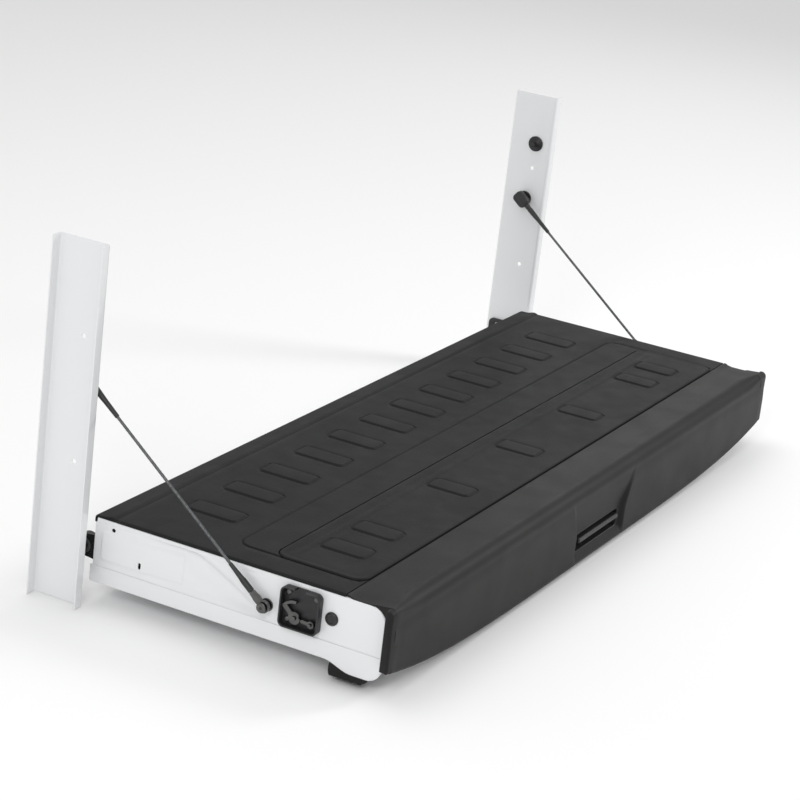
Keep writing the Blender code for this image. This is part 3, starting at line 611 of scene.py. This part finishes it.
def cap_line(x):
    """Outer line of the cap in Y-Z at x, from the seam over the ridge and down to the lip."""
    front = CAP[1].y
    low = float(lip_z(x))
    squared = float(ease(abs(x), 0.700, HALF_WIDTH))
    radius = RIDGE_R[0] + (RIDGE_R[1] - RIDGE_R[0]) * squared
    valley = DECK_Z - 0.0012 - 0.0030 * float(ease(abs(x), 0.745, HALF_WIDTH))
    line = [(front, DECK_Z - 0.0030), (front, DECK_Z - 0.0014), (front - 0.0004, DECK_Z - 0.0004),
            (front - 0.0014, DECK_Z), (front - 0.0045, DECK_Z - 0.0002),
            (front - 0.0100, (DECK_Z + 2 * valley) / 3)]
    line += [(y, valley) for y in np.linspace(front - 0.018, front - 0.040, 5)]
    line += [(front - 0.046, valley + 0.0002), (front - 0.052, (DECK_Z + valley) / 2)]
    line += arc((CAP_FACE_Y + RIDGE_SET_IN + radius, DECK_Z - radius), radius, 80, 166, 12)
    knee = ((0.0021, 0.0345), (0.0019, 0.0305), (0.0014, 0.0260), (0.0008, 0.0210))
    line += [(CAP_FACE_Y + back, z) for back, z in knee]
    line += [(CAP_FACE_Y + 0.0004, z) for z in np.linspace(0.014, low + 0.012, 22)]
    lip = ((0.0, 0.0070), (0.0004, 0.0040), (0.0016, 0.0016), (0.0036, 0.0003), (0.0062, 0.0))
    line += [(CAP_FACE_Y + back, low + up) for back, up in lip]
    return line


def scoop(x, z):
    """Depth of the finger scoop above the handle slot, which flares towards the ridge."""
    half = 0.103 + 0.45 * np.clip(z - SLOT_Z[1], 0.0, 0.07) + 4.0 * np.clip(z - 0.02, 0.0, 0.05) ** 2
    across = ease(half - np.abs(x), -0.0040, 0.0060)
    up = 1 - ease(z, SLOT_Z[1] - 0.004, 0.047)
    down = ease(z, SLOT_Z[0] - 0.012, SLOT_Z[0] + 0.004)
    return 0.0085 * across * up * down


def top_cap():
    """Moulded cap over the free edge, with a scoop and an opening for the handle."""
    reach = HALF_WIDTH - 0.0006
    face = CAP_FACE_Y + 0.01
    rows = [[(x, y + float(scoop(x, z)) if y < face else y, z) for y, z in cap_line(x)]
            for x in grid_lines(-reach, reach, 0.022, [(-0.175, 0.175)], 0.0026)]
    cap = pressed_sheet("cap_shell", rows, CAP_PLASTIC, "gate", (0, -1, 0), 0.0028, ["top_cap"])
    inset = 0.0012
    cut_slot(cap, (-SLOT_X + inset, SLOT_X - inset), (SLOT_Z[0] + inset, SLOT_Z[1] - inset), 0.009,
             (CAP_FACE_Y - 0.01, CAP_FACE_Y + 0.03), rear_place)
    for side, suffix in SIDES:
        cap_end(side, suffix)


def pulled(value, towards, most):
    """value moved towards another one, by at most a given distance."""
    return value + min(max(towards - value, -most), most)


def cap_end(side, suffix):
    """End of the cap: it closes the moulding behind the white wall and flares out past it."""
    low, radius = LIP_END_Z, RIDGE_R[1]
    ridge_line = arc((CAP_FACE_Y + RIDGE_SET_IN + radius, DECK_Z - radius), radius - 0.0002, 92, 166, 9)
    centre = (WALL_END_Y + WALL_CORNER, WALL_TOP - WALL_CORNER)
    fill = [(CAP_FACE_Y + 0.006, low + 0.006), (CAP_FACE_Y + 0.004, 0.02), *ridge_line[::-1],
            (centre[0] - 0.002, WALL_TOP + 0.0006), *arc(centre, WALL_CORNER + 0.0008, 96, 180, 10),
            (WALL_END_Y - 0.0008, low + 0.006)]
    bm = bmesh.new()
    loft(bm, [[(side * x, y, z) for y, z in fill] for x in (HALF_WIDTH - 0.020, HALF_WIDTH - 0.0004)])

    plate = [(WALL_END_Y - 0.0014, low + 0.001), (CAP_FACE_Y + 0.0030, low),
             (CAP_FACE_Y + 0.0008, low + 0.0016), (CAP_FACE_Y + 0.0002, low + 0.005),
             (CAP_FACE_Y + 0.0004, 0.0), (CAP_FACE_Y + 0.0016, 0.024)]
    plate += arc((CAP_FACE_Y + 0.0112, DECK_Z - 0.0106), 0.0100, 172, 92, 6)
    plate += [(WALL_END_Y - 0.0026, DECK_Z - 0.0010), (WALL_END_Y - 0.0014, DECK_Z - 0.0040)]
    middle = (-0.5602, 0.012)
    stations = ((HALF_WIDTH - 0.0145, 0.0012), (HALF_WIDTH - 0.0130, 0.0), (CAP_REACH - 0.0040, 0.0),
                (CAP_REACH - 0.0022, 0.0005), (CAP_REACH - 0.0008, 0.0014), (CAP_REACH - 0.0001, 0.0028))
    loft(bm, [[(side * x, pulled(y, middle[0], pull), pulled(z, middle[1], pull)) for y, z in plate]
              for x, pull in stations])
    add_piece("cap_end" + suffix, bm, CAP_PLASTIC, "gate")


def handle_pocket():
    """Rounded pocket behind the cap's opening, with a lip all round."""
    wall, lip = 0.0025, 0.0012
    front, back = BEZEL[0].y, BEZEL[1].y
    stations = [(0.0, back), (0.0, front + 0.011), (lip, front + 0.0085), (wall * 0.7, front + 0.0078),
                (wall, front + 0.0085), (wall + 0.0004, front + 0.0110),
                (wall + 0.0010, back - wall - 0.003), (wall + 0.0030, back - wall)]
    bm = bmesh.new()
    stack(bm, (-SLOT_X, SLOT_X), SLOT_Z, 0.0095, stations, rear_place)
    add_piece("handle_pocket", bm, BLACK_PLASTIC, "gate", ["handle_bezel"])


def grip_bar():
    """Bar that the fingers lift, grooved along its rear and rounded at its ends."""
    low, high = PADDLE
    half = (high.z - low.z) / 2
    middle_y, middle_z = (low.y + high.y) / 2, PADDLE_PIVOT.z
    section = arc((high.y - half, middle_z), half, -90, 90, 10)
    section += arc((low.y + half * 0.8, middle_z + half * 0.2), half * 0.8, 90, 180, 6)
    section += arc((low.y + half * 0.6, middle_z - half * 0.4), half * 0.6, 180, 270, 5)
    end = [(-high.x, 0.3), (-high.x + 0.0006, 0.12), (-high.x + 0.002, 0.0)]
    rings = []
    for x, shrink in capped(end, np.linspace(-high.x + 0.006, high.x - 0.006, 41)):
        groove = 0.0006 * max(0.0, math.cos(x * 2 * math.pi / 0.014)) if abs(x) < 0.070 else 0.0
        ring = []
        for y, z in section:
            drop = groove if y < middle_y else 0.0
            ring.append((x, middle_y + (y - middle_y) * (1 - shrink) + drop,
                         middle_z + (z - middle_z) * (1 - shrink)))
        rings.append(ring)
    loft_piece("grip_bar", rings, BLACK_PLASTIC, "handle", ["handle_paddle"])


def lower_strip():
    """Black strip across the outer skin, below the cap, taller where it shows at its ends."""
    low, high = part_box("outer_trim")
    reach, centre = high.x, (low.y + high.y) / 2
    section = rounded_outline((low.y, high.y), (-0.0048, 0.0), 0.0022, steps=4)
    end = [(-reach, 0.0016), (-reach + 0.0006, 0.0004), (-reach + 0.002, 0.0)]
    rows = []
    for x, inset in capped(end, np.linspace(-reach + 0.02, reach - 0.02, 60)):
        top = float(skin_z(x, -0.5)) - 0.0006
        grown = float(ease(abs(x), 0.725, 0.765))
        wide, tall = 1.0 + 0.28 * grown, 1.0 + 4.0 * grown
        rows.append([(x, centre + (y - centre) * wide + math.copysign(inset, centre - y),
                      top + z * tall + (inset if z < -0.002 else 0.0)) for y, z in section])
    loft_piece("lower_strip", rows, CAP_PLASTIC, "gate", ["outer_trim"])


# ---------------- painted shell
def crease_z(y):
    """Height of the crease pressed into the side wall, which falls towards the rear."""
    s = -0.183 - y
    return 0.060 - 0.35 * s - 0.95 * np.maximum(s, 0.0) ** 2


def fillet(back, radius):
    """How far a corner rounded to radius has drawn in an edge, at a distance back from its end."""
    return radius - math.sqrt(max(radius ** 2 - max(radius - back, 0.0) ** 2, 0.0))


def hem_edge(y):
    """Lower edge of the hem on the side wall: a lobe hangs over the strip's end, rounded behind."""
    lobe = LOBE_DROP * float(ease(-y, 0.450, 0.500))
    return SKIN_EDGE_Z - lobe + fillet(y - WALL_END_Y, 0.026)


def side_wall(side, suffix):
    """White side wall: rounded at the rear, pressed in towards the hinge, with a pad and two slots."""
    foot, fold = 0.013, 0.0026
    low_z = SKIN_EDGE_Z + 0.0032
    pad_y, pad_z = (-0.186, -0.034), (-0.016, 0.033)
    turns = np.radians(np.linspace(0, 90, 18))[:-1]
    ys = [WALL_END_Y + WALL_CORNER * (1 - math.cos(t)) for t in turns]
    ys += list(grid_lines(WALL_END_Y + WALL_CORNER, HINGE_END_Y, 0.0075,
                          edge_zones(pad_y, 0.004, 0.004), 0.0014))
    offsets = np.array([0.0, 0.0002, 0.0007, 0.0015, 0.0026, 0.0040])
    shares = np.linspace(0.0, 1.0, 44)
    columns = []
    for y in ys:
        back = y - WALL_END_Y
        low, high = low_z + fillet(back, foot), WALL_TOP - fillet(back, WALL_CORNER)
        inner = low + offsets[-1] + (high - low - 2 * offsets[-1]) * shares
        columns.append([*(low + offsets[:-1]), *inner, *(high - offsets[-2::-1])])
    z = np.array(columns)
    y = np.repeat(np.array(ys)[:, None], z.shape[1], axis=1)
    rim = np.minimum(depth_in(y, z, (WALL_END_Y, 0.5), (low_z - 0.1, WALL_TOP), WALL_CORNER),
                     np.minimum(z - z[:, :1], z[:, -1:] - z))
    x = HALF_WIDTH - roll(rim, fold)
    under = crease_z(y) - z
    pressed = ease(under, -0.002, 0.013) * (1 - 0.6 * ease(under, 0.013, 0.060))
    pressed *= ease(z, -0.030, -0.014) * (1 - ease(z, 0.041, 0.0485))
    pressed *= ease(-y, 0.100, 0.200) * (1 - ease(-y, 0.325, 0.370))
    x -= 0.0112 * pressed
    x += 0.0014 * ease(depth_in(y, z, pad_y, pad_z, 0.006), -0.0012, 0.0016)
    x -= 0.0007 * ridge(z, 0.0445, 0.0030) * ease(-y, 0.030, 0.050) * (1 - ease(-y, 0.300, 0.340))
    rows = np.stack([side * x, y, z], axis=-1)
    wall = pressed_sheet("side_wall" + suffix, rows, WHITE_PAINT, "gate", (side, 0, 0), SHEET)
    slots = (((-0.1105, -0.1055), (-0.0115, -0.0005), 0.0024),
             ((-0.0580, -0.0510), (0.0360, 0.0425), 0.0032))
    for y_span, z_span, corner in slots:
        cut_slot(wall, y_span, z_span, corner, (HALF_WIDTH - 0.012, HALF_WIDTH + 0.01), side_place(side))


def inner_tray():
    """Pressed tray between the side walls: its top, and both end walls with their pressings."""
    reach = HALF_WIDTH - 0.0076
    centres = np.linspace(-0.60, 0.60, 6)
    half, edge = 0.088, 0.005
    edges = [centre + end * half for centre in centres for end in (-1, 1)]
    over = [(HINGE_END_Y, 0.046), (HINGE_END_Y - 0.0012, 0.0505), (HINGE_END_Y - 0.0045, WALL_TOP),
            (HINGE_END_Y - 0.020, WALL_TOP), (WALL_END_Y + 0.030, WALL_TOP),
            (WALL_END_Y + 0.008, WALL_TOP - 0.001), (WALL_END_Y + 0.002, WALL_TOP - 0.005),
            (WALL_END_Y, WALL_TOP - 0.012), (WALL_END_Y, -0.020)]
    rows = []
    for x in grid_lines(-reach, reach, 0.014, edge_zones(edges, edge, edge), 0.0025):
        foot = float(skin_z(x, HINGE_END_Y)) + 0.0016
        z = foot + (0.040 - foot) * np.linspace(0.0, 1.0, 44)
        inset = 0.0030 * (1 - ease(z, foot + 0.004, foot + 0.010))
        for c in centres:
            panel = depth_in(x, z, (c - half, c + half), (-0.040, 0.032), 0.014)
            inset += 0.0050 * ease(panel, -0.004, 0.004)
        rows.append([(x, HINGE_END_Y - depth, height) for depth, height in zip(inset, z)]
                    + [(x, *point) for point in over])
    tray = pressed_sheet("inner_tray", rows, WHITE_PAINT, "gate", (0, 1, 0), SHEET, ["inner_panel"],
                         asked=0)
    along_y = Matrix.Rotation(math.pi / 2, 4, "X")
    for x in (centres[:-1] + centres[1:]) / 2:
        drill(tray, Matrix.Translation((x, HINGE_END_Y, -0.004)) @ along_y, 0.009, 32)


def outer_panel():
    """Painted outer skin: hemmed over the side walls, crowned, with a pressed field."""
    reach = HALF_WIDTH + 0.0003 + SKIN
    bend = 0.0035
    turns = np.radians(np.linspace(0, 90, 6))
    field_x, field_y = (-0.690, 0.690), (-0.430, -0.085)
    xs = grid_lines(-reach + bend, reach - bend, 0.020, edge_zones(field_x, 0.012, 0.012), 0.003)
    ys = [*np.linspace(SKIN_BOX[1].y, -0.500, 60), *np.linspace(-0.504, SKIN_BOX[0].y, 16)]
    rows = []
    for y in ys:
        edge = hem_edge(y)
        hem = [(reach, HEM_TOP_Z - drop) for drop in (0.0, 0.006, 0.014)]
        hem += [(reach - bend + bend * math.cos(t), edge + bend - bend * math.sin(t)) for t in turns]
        z = skin_z(xs, y)
        z = z + 0.0052 * ease(depth_in(xs, y, field_x, field_y, 0.05), -0.006, 0.008)
        z = z + 0.0012 * ridge(y, -0.258, 0.012) * ease(0.60 - np.abs(xs), 0.0, 0.1)
        rows.append([(-x, y, edge_z) for x, edge_z in hem] + list(zip(xs, np.full_like(xs, y), z))[1:-1]
                    + [(x, y, edge_z) for x, edge_z in reversed(hem)])
    pressed_sheet("outer_panel", rows, WHITE_PAINT, "gate", (0, 0, -1), SKIN, ["outer_skin"])


def pillar(side, suffix):
    """Pressed strip of the load bed's rear pillar, with its flanges bent outwards."""
    low, high = STRIP
    bend = 0.006
    line = [(high.x, low.y)] + arc((low.x + bend, low.y + bend), bend, 270, 180, 6)
    line += arc((low.x + bend, high.y - bend), bend, 180, 90, 6) + [(high.x, high.y)]
    rows = [[(side * x, y, z) for x, y in line] for z in grid_lines(low.z, high.z, 0.010)]
    web = len(rows) // 2 * (len(line) - 1) + len(line) // 2 - 1
    strip = pressed_sheet("pillar" + suffix, rows, WHITE_PAINT, "truck_mounts", (-side, 0, 0), 0.002,
                          ["pillar_strip" + suffix], asked=web)
    for y, z in PILLAR_HOLES:
        drill(strip, outward(side, side * low.x, y, z), 0.004, 24)


# ---------------- hardware
def latch_case(side, suffix):
    """Black latch box: rolled rim, back plate with screws, and a throat for the striker."""
    low, high = LATCH
    wall, rim = 0.0020, high.x
    place = side_place(side)
    stations = [(0.0012, low.x), (0.0, low.x + 0.0012), (0.0, rim - 0.0014), (0.0004, rim - 0.0004),
                (0.0012, rim), (wall + 0.0004, rim), (wall + 0.0010, rim - 0.0005),
                (wall + 0.0012, rim - 0.0014), (wall + 0.0014, low.x + 0.0034),
                (wall + 0.0024, low.x + 0.0022)]
    bm = bmesh.new()
    stack(bm, (low.y, high.y), (low.z, high.z), 0.0100, stations, place, 8)
    case = add_piece("latch_case" + suffix, bm, BLACK_STEEL, "gate", ["latch_housing" + suffix])
    middle = (low.y + high.y) / 2
    cut_slot(case, (middle - 0.0100, middle + 0.0100), (0.026, 0.060), 0.006,
             (low.x + 0.0022, rim + 0.01), place)

    bm = bmesh.new()
    upper, lower = high.z - 0.0110, low.z + 0.0110
    for y, z in ((low.y + 0.0105, upper), (high.y - 0.0100, upper), (high.y - 0.0110, lower)):
        hex_recess_head(bm, outward(side, side * (low.x + wall), y, z), 0.0052, 0.0032, 0.0026)
    add_piece("latch_screws" + suffix, bm, ZINC_STEEL, "gate")

    bm = bmesh.new()
    stack(bm, (low.y + 0.010, high.y - 0.010), (low.z - 0.0050, low.z + 0.0016), 0.002,
          [(0.0, low.x), (0.0, low.x + 0.0030), (0.0006, low.x + 0.0040)], place)
    add_piece("latch_tab" + suffix, bm, ZINC_STEEL, "gate")


def side_centre(box):
    """Y and Z of a box's middle."""
    low, high = box
    return (low.y + high.y) / 2, (low.z + high.z) / 2


def round_hardware(side, suffix):
    """Turned pieces: cable bolt, side plug, striker and cable stud."""
    reach = BOLT[1].x - BOLT[0].x
    turned_piece("eye_bolt" + suffix,
                 [(0.0108, 0.0), (0.0108, 0.0016), (0.0102, 0.0022), (0.0050, 0.0022),
                  (0.0048, reach - 0.0032), (0.0076, reach - 0.0031), (0.0084, reach - 0.0022),
                  (0.0082, reach - 0.0010), (0.0070, reach - 0.0002), (0.0040, reach)],
                 ZINC_STEEL, "gate", outward(side, side * BOLT[0].x, *side_centre(BOLT)),
                 ["cable_bolt" + suffix])
    # Black hexagon on the bolt's end: painted shade in place of the dark inside of a hex socket, which is
    # not modelled as a recess.
    turned_piece("eye_bolt_socket_painted_shade" + suffix, [(0.0030, -0.0006), (0.0030, 0.0), (0.0026, 0.0)],
                 BLACK_STEEL, "gate", outward(side, side * (BOLT[1].x + 0.0001), *side_centre(BOLT)),
                 facets=6)

    low, high = PLUG
    radius, height = (high.y - low.y) / 2, high.x - low.x
    dome = ((1.0, 0.0), (1.0, 0.35), (0.95, 0.6), (0.82, 0.86), (0.70, 1.0), (0.60, 1.0), (0.55, 0.75),
            (0.30, 0.70))
    turned_piece("wall_plug" + suffix, [(radius * r, height * h) for r, h in dome], BLACK_PLASTIC, "gate",
                 outward(side, side * low.x, *side_centre(PLUG)), ["side_plug" + suffix])

    reach = STRIKER[1].x - STRIKER[0].x
    turned_piece("striker_stud" + suffix,
                 [(0.0158, 0.0), (0.0160, 0.0012), (0.0156, 0.0026), (0.0146, 0.0032),
                  (0.0070, 0.0040), (0.0052, 0.0052), (0.0050, reach - 0.0010),
                  (0.0046, reach - 0.0004), (0.0038, reach)],
                 BLACK_STEEL, "truck_mounts",
                 outward(-side, side * STRIKER[1].x, *side_centre(STRIKER)), ["striker" + suffix])
    turned_piece("stud" + suffix,
                 [(0.0149, 0.0), (0.0150, 0.0010), (0.0145, 0.0022), (0.0052, 0.0030),
                  (0.0050, 0.0040), (0.0066, 0.0044), (0.0077, 0.0050), (0.0078, 0.0060),
                  (0.0070, 0.0076), (0.0055, 0.0082)],
                 ZINC_STEEL, "truck_mounts",
                 outward(-side, side * ANCHOR[1].x, *side_centre(ANCHOR)), ["cable_anchor" + suffix])


# ---------------- cables
def cable_frame(side):
    """Placement of the taut cable along local +Y, and how far along it each joint and end lies."""
    reach = CABLE_STUD - CABLE_PIN
    start = Matrix.Translation((side * CABLE_X, CABLE_PIN.y, CABLE_PIN.z))
    root = start @ Matrix.Rotation(math.atan2(reach.z, reach.y), 4, "X")
    lower = (reach.length - 2 * BEND_LINK + STRAND_DIFFERENCE) / 2
    return root, [0.0, lower, lower + BEND_LINK, lower + 2 * BEND_LINK, reach.length]


def cable_place(root):
    """Outline in the cable's own plane, height along the gate's X."""
    return lambda u, v, height: root @ Vector((height, u, v))


def rope(name, root, start, end, nodes):
    """Six-strand wire rope between two distances along the cable, straight across one of its joints."""
    lobes, around, lay = 6, 36, 0.042
    count = max(2, math.ceil((end - start) / 0.0022))
    rows = []
    for along in np.linspace(start, end, count + 1):
        twist = 2 * math.pi * along / lay
        row = []
        for t in np.linspace(0, 2 * math.pi, around, endpoint=False):
            bulge = abs(math.cos(lobes / 2 * (t - twist)))
            radius = CABLE_R * (0.78 + 0.22 * bulge ** 0.7)
            row.append(root @ Vector((radius * math.cos(t), along, radius * math.sin(t))))
        rows.append(row)
    obj = loft_piece(name, rows, CABLE_STEEL, None, nodes, sharp=60.0)
    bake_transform(obj)


def cable(side, suffix):
    """Support cable: three stretches of rope over its four links, its crimped eye and its clip."""
    root, stops = cable_frame(side)
    half = BEND_LINK / 2
    links = [f"cable_{part}{suffix}_link" for part in ("lower", "bend_1", "bend_2", "upper")]
    length = stops[4]
    splits = [CRIMP_END, stops[1] + half, stops[2] + half, length - CLIP_HEAD - 0.0008]
    replaced = (["cable_lower" + suffix, "cable_bend_1" + suffix], ["cable_bend_2" + suffix],
                ["cable_upper" + suffix])
    for index, nodes in enumerate(replaced):
        rope(f"rope_{index + 1}{suffix}", root, splits[index], splits[index + 1],
             nodes)

    along = root @ Matrix.Rotation(-math.pi / 2, 4, "X")
    turned_piece("eye_sleeve" + suffix,
                 [(0.0027, CRIMP_END), (0.0050, CRIMP_END), (0.0052, 0.0312),
                  (0.0052, 0.0500), (0.0050, 0.0515), (0.0050, 0.0530), (0.0045, 0.0545), (0.0045, 0.0570),
                  (0.0042, 0.0585), (0.0042, 0.0610), (0.0037, 0.0700), (0.0032, 0.0835),
                  (0.0030, 0.0850), (0.0027, 0.0850)],
                 BLACK_PLASTIC, links[0], along, ["cable_sleeve" + suffix], 32)
    bm = bmesh.new()
    eye(bm, root)
    add_piece("eye_end" + suffix, bm, ZINC_STEEL, links[0], ["cable_eye" + suffix])

    start, head = length - 0.0900, length - CLIP_HEAD
    bm = bmesh.new()
    turned(bm, [(0.0027, start), (0.0034, start), (0.0037, start + 0.002), (0.0042, start + 0.030),
                (0.0052, start + 0.050), (0.0054, head - 0.012), (0.0050, head - 0.010),
                (0.0050, head - 0.008), (0.0056, head - 0.006), (0.0056, head + 0.004)], along, 32)
    clip_head(bm, root, length)
    add_piece("stud_clip" + suffix, bm, BLACK_PLASTIC, links[3], ["cable_clip" + suffix])
    bm = bmesh.new()
    spring_latch(bm, root, length)
    add_piece("clip_spring" + suffix, bm, BLACK_STEEL, links[3])


def eye(bm, root):
    """Forged eye that tapers into the crimp over the rope."""
    outer, bore, half, soft = 0.0105, 0.0052, 0.0035, 0.0010
    neck = [(0.0296, 0.0042), (0.0240, 0.0048), (0.0180, 0.0060)]
    opening = 35
    outline = arc((0, 0), outer, opening, 360 - opening, 30)
    outline += [(a, -w) for a, w in reversed(neck)] + neck
    turns = [math.atan2(b, a) for a, b in outline]
    hole = [(bore * math.cos(t), bore * math.sin(t)) for t in turns]

    def row(points, others, inset, x):
        """One ring of the section at x, each point drawn in towards its partner."""
        found = []
        for point, other in zip(points, others):
            away = Vector(point) - Vector(other)
            pulled_in = Vector(point) - away.normalized() * inset
            found.append(bm.verts.new(root @ Vector((x, *pulled_in))))
        return found

    rings = [row(outline, hole, soft, -half), row(outline, hole, 0.0, -half + soft),
             row(outline, hole, 0.0, half - soft), row(outline, hole, soft, half),
             row(hole, outline, 0.0006, half), row(hole, outline, 0.0, half - 0.0008),
             row(hole, outline, 0.0, -half + 0.0008), row(hole, outline, 0.0006, -half)]
    for near, far in zip(rings, rings[1:] + rings[:1]):
        stitch(bm, near, far)


def clip_head(bm, root, length):
    """Moulded head that snaps over the stud: a rounded block with a domed face."""
    half, thick = 0.0125, 0.0070
    stations = [(0.0016, -thick), (0.0004, -thick + 0.0008), (0.0, -thick + 0.0022),
                (0.0, thick - 0.0030), (0.0006, thick - 0.0014), (0.0020, thick - 0.0004),
                (0.0042, thick)]
    stack(bm, (length - CLIP_HEAD, length + 0.0160), (-half, half), 0.0085, stations, cable_place(root), 8)


def spring_latch(bm, root, length):
    """Flat spring that locks the clip on its stud, seen on both faces of the head."""
    for face in (-1, 1):
        stations = [(0.0, face * 0.0062), (0.0, face * 0.0070), (0.0005, face * 0.0072)]
        stack(bm, (length - 0.0120, length + 0.0120), (-0.0042, 0.0042), 0.0036, stations,
              cable_place(root))


# ---------------- CAD nodes that keep their shape
KEPT = {
    "reinforcement_beam": ZINC_STEEL, "torsion_rod": BLACK_STEEL, "torsion_clip_outer": BLACK_PLASTIC,
    "torsion_clip_inner": BLACK_PLASTIC, "paddle_pin": ZINC_STEEL, "crank_bracket": BLACK_STEEL,
    "crank_pin": ZINC_STEEL, "release_crank": ZINC_STEEL, "rod": ZINC_STEEL, "hinge_cup": BLACK_STEEL,
    "hinge_bush": BUSH_NYLON, "hinge_bracket": BLACK_STEEL, "claw_pin": ZINC_STEEL, "pawl_pin": ZINC_STEEL,
    "latch_claw": ZINC_STEEL, "latch_pawl": ZINC_STEEL,
}


def keep_cad_nodes():
    """Give every CAD node that still shows its finish and softened edges."""
    for name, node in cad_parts.items():
        if node.hide_render:
            continue
        look = KEPT[name.removesuffix("_left").removesuffix("_right")]
        node.data.materials.clear()
        node.data.materials.append(look)
        weld = node.modifiers.new("weld", "WELD")
        weld.merge_threshold = 0.00001
        edges = node.modifiers.new("edges", "BEVEL")
        edges.width = 0.0004
        edges.segments = 2
        edges.limit_method = "ANGLE"
        edges.angle_limit = math.radians(40)


# ---------------- stage
def stage():
    """Pale floor, a soft white world and four large lamps, the strongest from the right."""
    floor_z = CAD_BOX[0].z - 0.0010
    bpy.ops.mesh.primitive_plane_add(size=60.0, location=(0, 0, floor_z))
    floor = bpy.context.object
    floor.name = "floor"
    look = bpy.data.materials.new("floor_look")
    look.use_nodes = True
    set_inputs(shader_of(look), {"Base Color": (0.93, 0.93, 0.93, 1.0), "Roughness": 0.8})
    floor.data.materials.append(look)

    world = bpy.data.worlds.new("studio")
    world.use_nodes = True
    bpy.context.scene.world = world
    set_inputs(world.node_tree.nodes["Background"], {"Color": (1.0, 1.0, 1.0, 1.0), "Strength": 0.66})

    lamps = (("key", (2.6, -2.8, 2.4), 1.2, 50.0), ("rim", (4.3, 0.8, 2.2), 1.3, 9.0),
             ("top", (0.0, 0.6, 3.8), 3.5, 34.0), ("fill", (-3.7, -1.0, 2.3), 1.2, 34.0))
    target = Vector((0.0, -0.25, 0.0))
    for name, place, size, power in lamps:
        data = bpy.data.lights.new(name, "AREA")
        data.shape = "DISK"
        data.size = size
        data.energy = power
        lamp = new_object(name, data)
        lamp.location = place
        lamp.visible_camera = False
        lamp.rotation_euler = (target - Vector(place)).to_track_quat("-Z", "Y").to_euler()


def camera():
    """Camera off the gate's left rear corner, with a lens that just takes in the whole object."""
    data = bpy.data.cameras.new("camera")
    made = new_object("camera", data)
    low, high = CAD_BOX
    profile = ((low.y, low.z), (low.y, DECK_Z), (STRIP[0].y, high.z), (high.y, high.z), (high.y, low.z))
    corners = [Vector((x, y, z)) for x in (low.x, high.x) for y, z in profile]
    aim = Vector((0, 0, 0))
    for _ in range(8):
        turn = aim_at(CAMERA_EYE, aim)
        seen = [turn.inverted() @ (corner - CAMERA_EYE) for corner in corners]
        flat = [(p.x / -p.z, p.y / -p.z) for p in seen]
        middle = [(min(f[k] for f in flat) + max(f[k] for f in flat)) / 2 for k in (0, 1)]
        distance = (aim - CAMERA_EYE).length
        aim = CAMERA_EYE + turn @ Vector((middle[0], middle[1], -1.0)) * distance
    half = max(max(abs(f[0] - middle[0]), abs(f[1] - middle[1])) for f in flat)
    margin = 1.07
    data.lens = data.sensor_width / 2 / (half * margin)
    made.location = CAMERA_EYE
    made.rotation_euler = aim_at(CAMERA_EYE, aim).to_euler()
    bpy.context.scene.camera = made


def aim_at(origin, target):
    """Camera rotation towards target, with the view's roll."""
    level = (target - origin).to_track_quat("-Z", "Y").to_matrix()
    return level @ Matrix.Rotation(CAMERA_ROLL, 3, "Z")


# ---------------- assembly
bpy.context.scene.view_settings.view_transform = "Standard"
camera()
stage()
deck_mat()
cover_plate()
edge_moulding()
top_cap()
handle_pocket()
grip_bar()
lower_strip()
inner_tray()
outer_panel()
for side, suffix in SIDES:
    side_wall(side, suffix)
    pillar(side, suffix)
    latch_case(side, suffix)
    round_hardware(side, suffix)
    cable(side, suffix)
keep_cad_nodes()
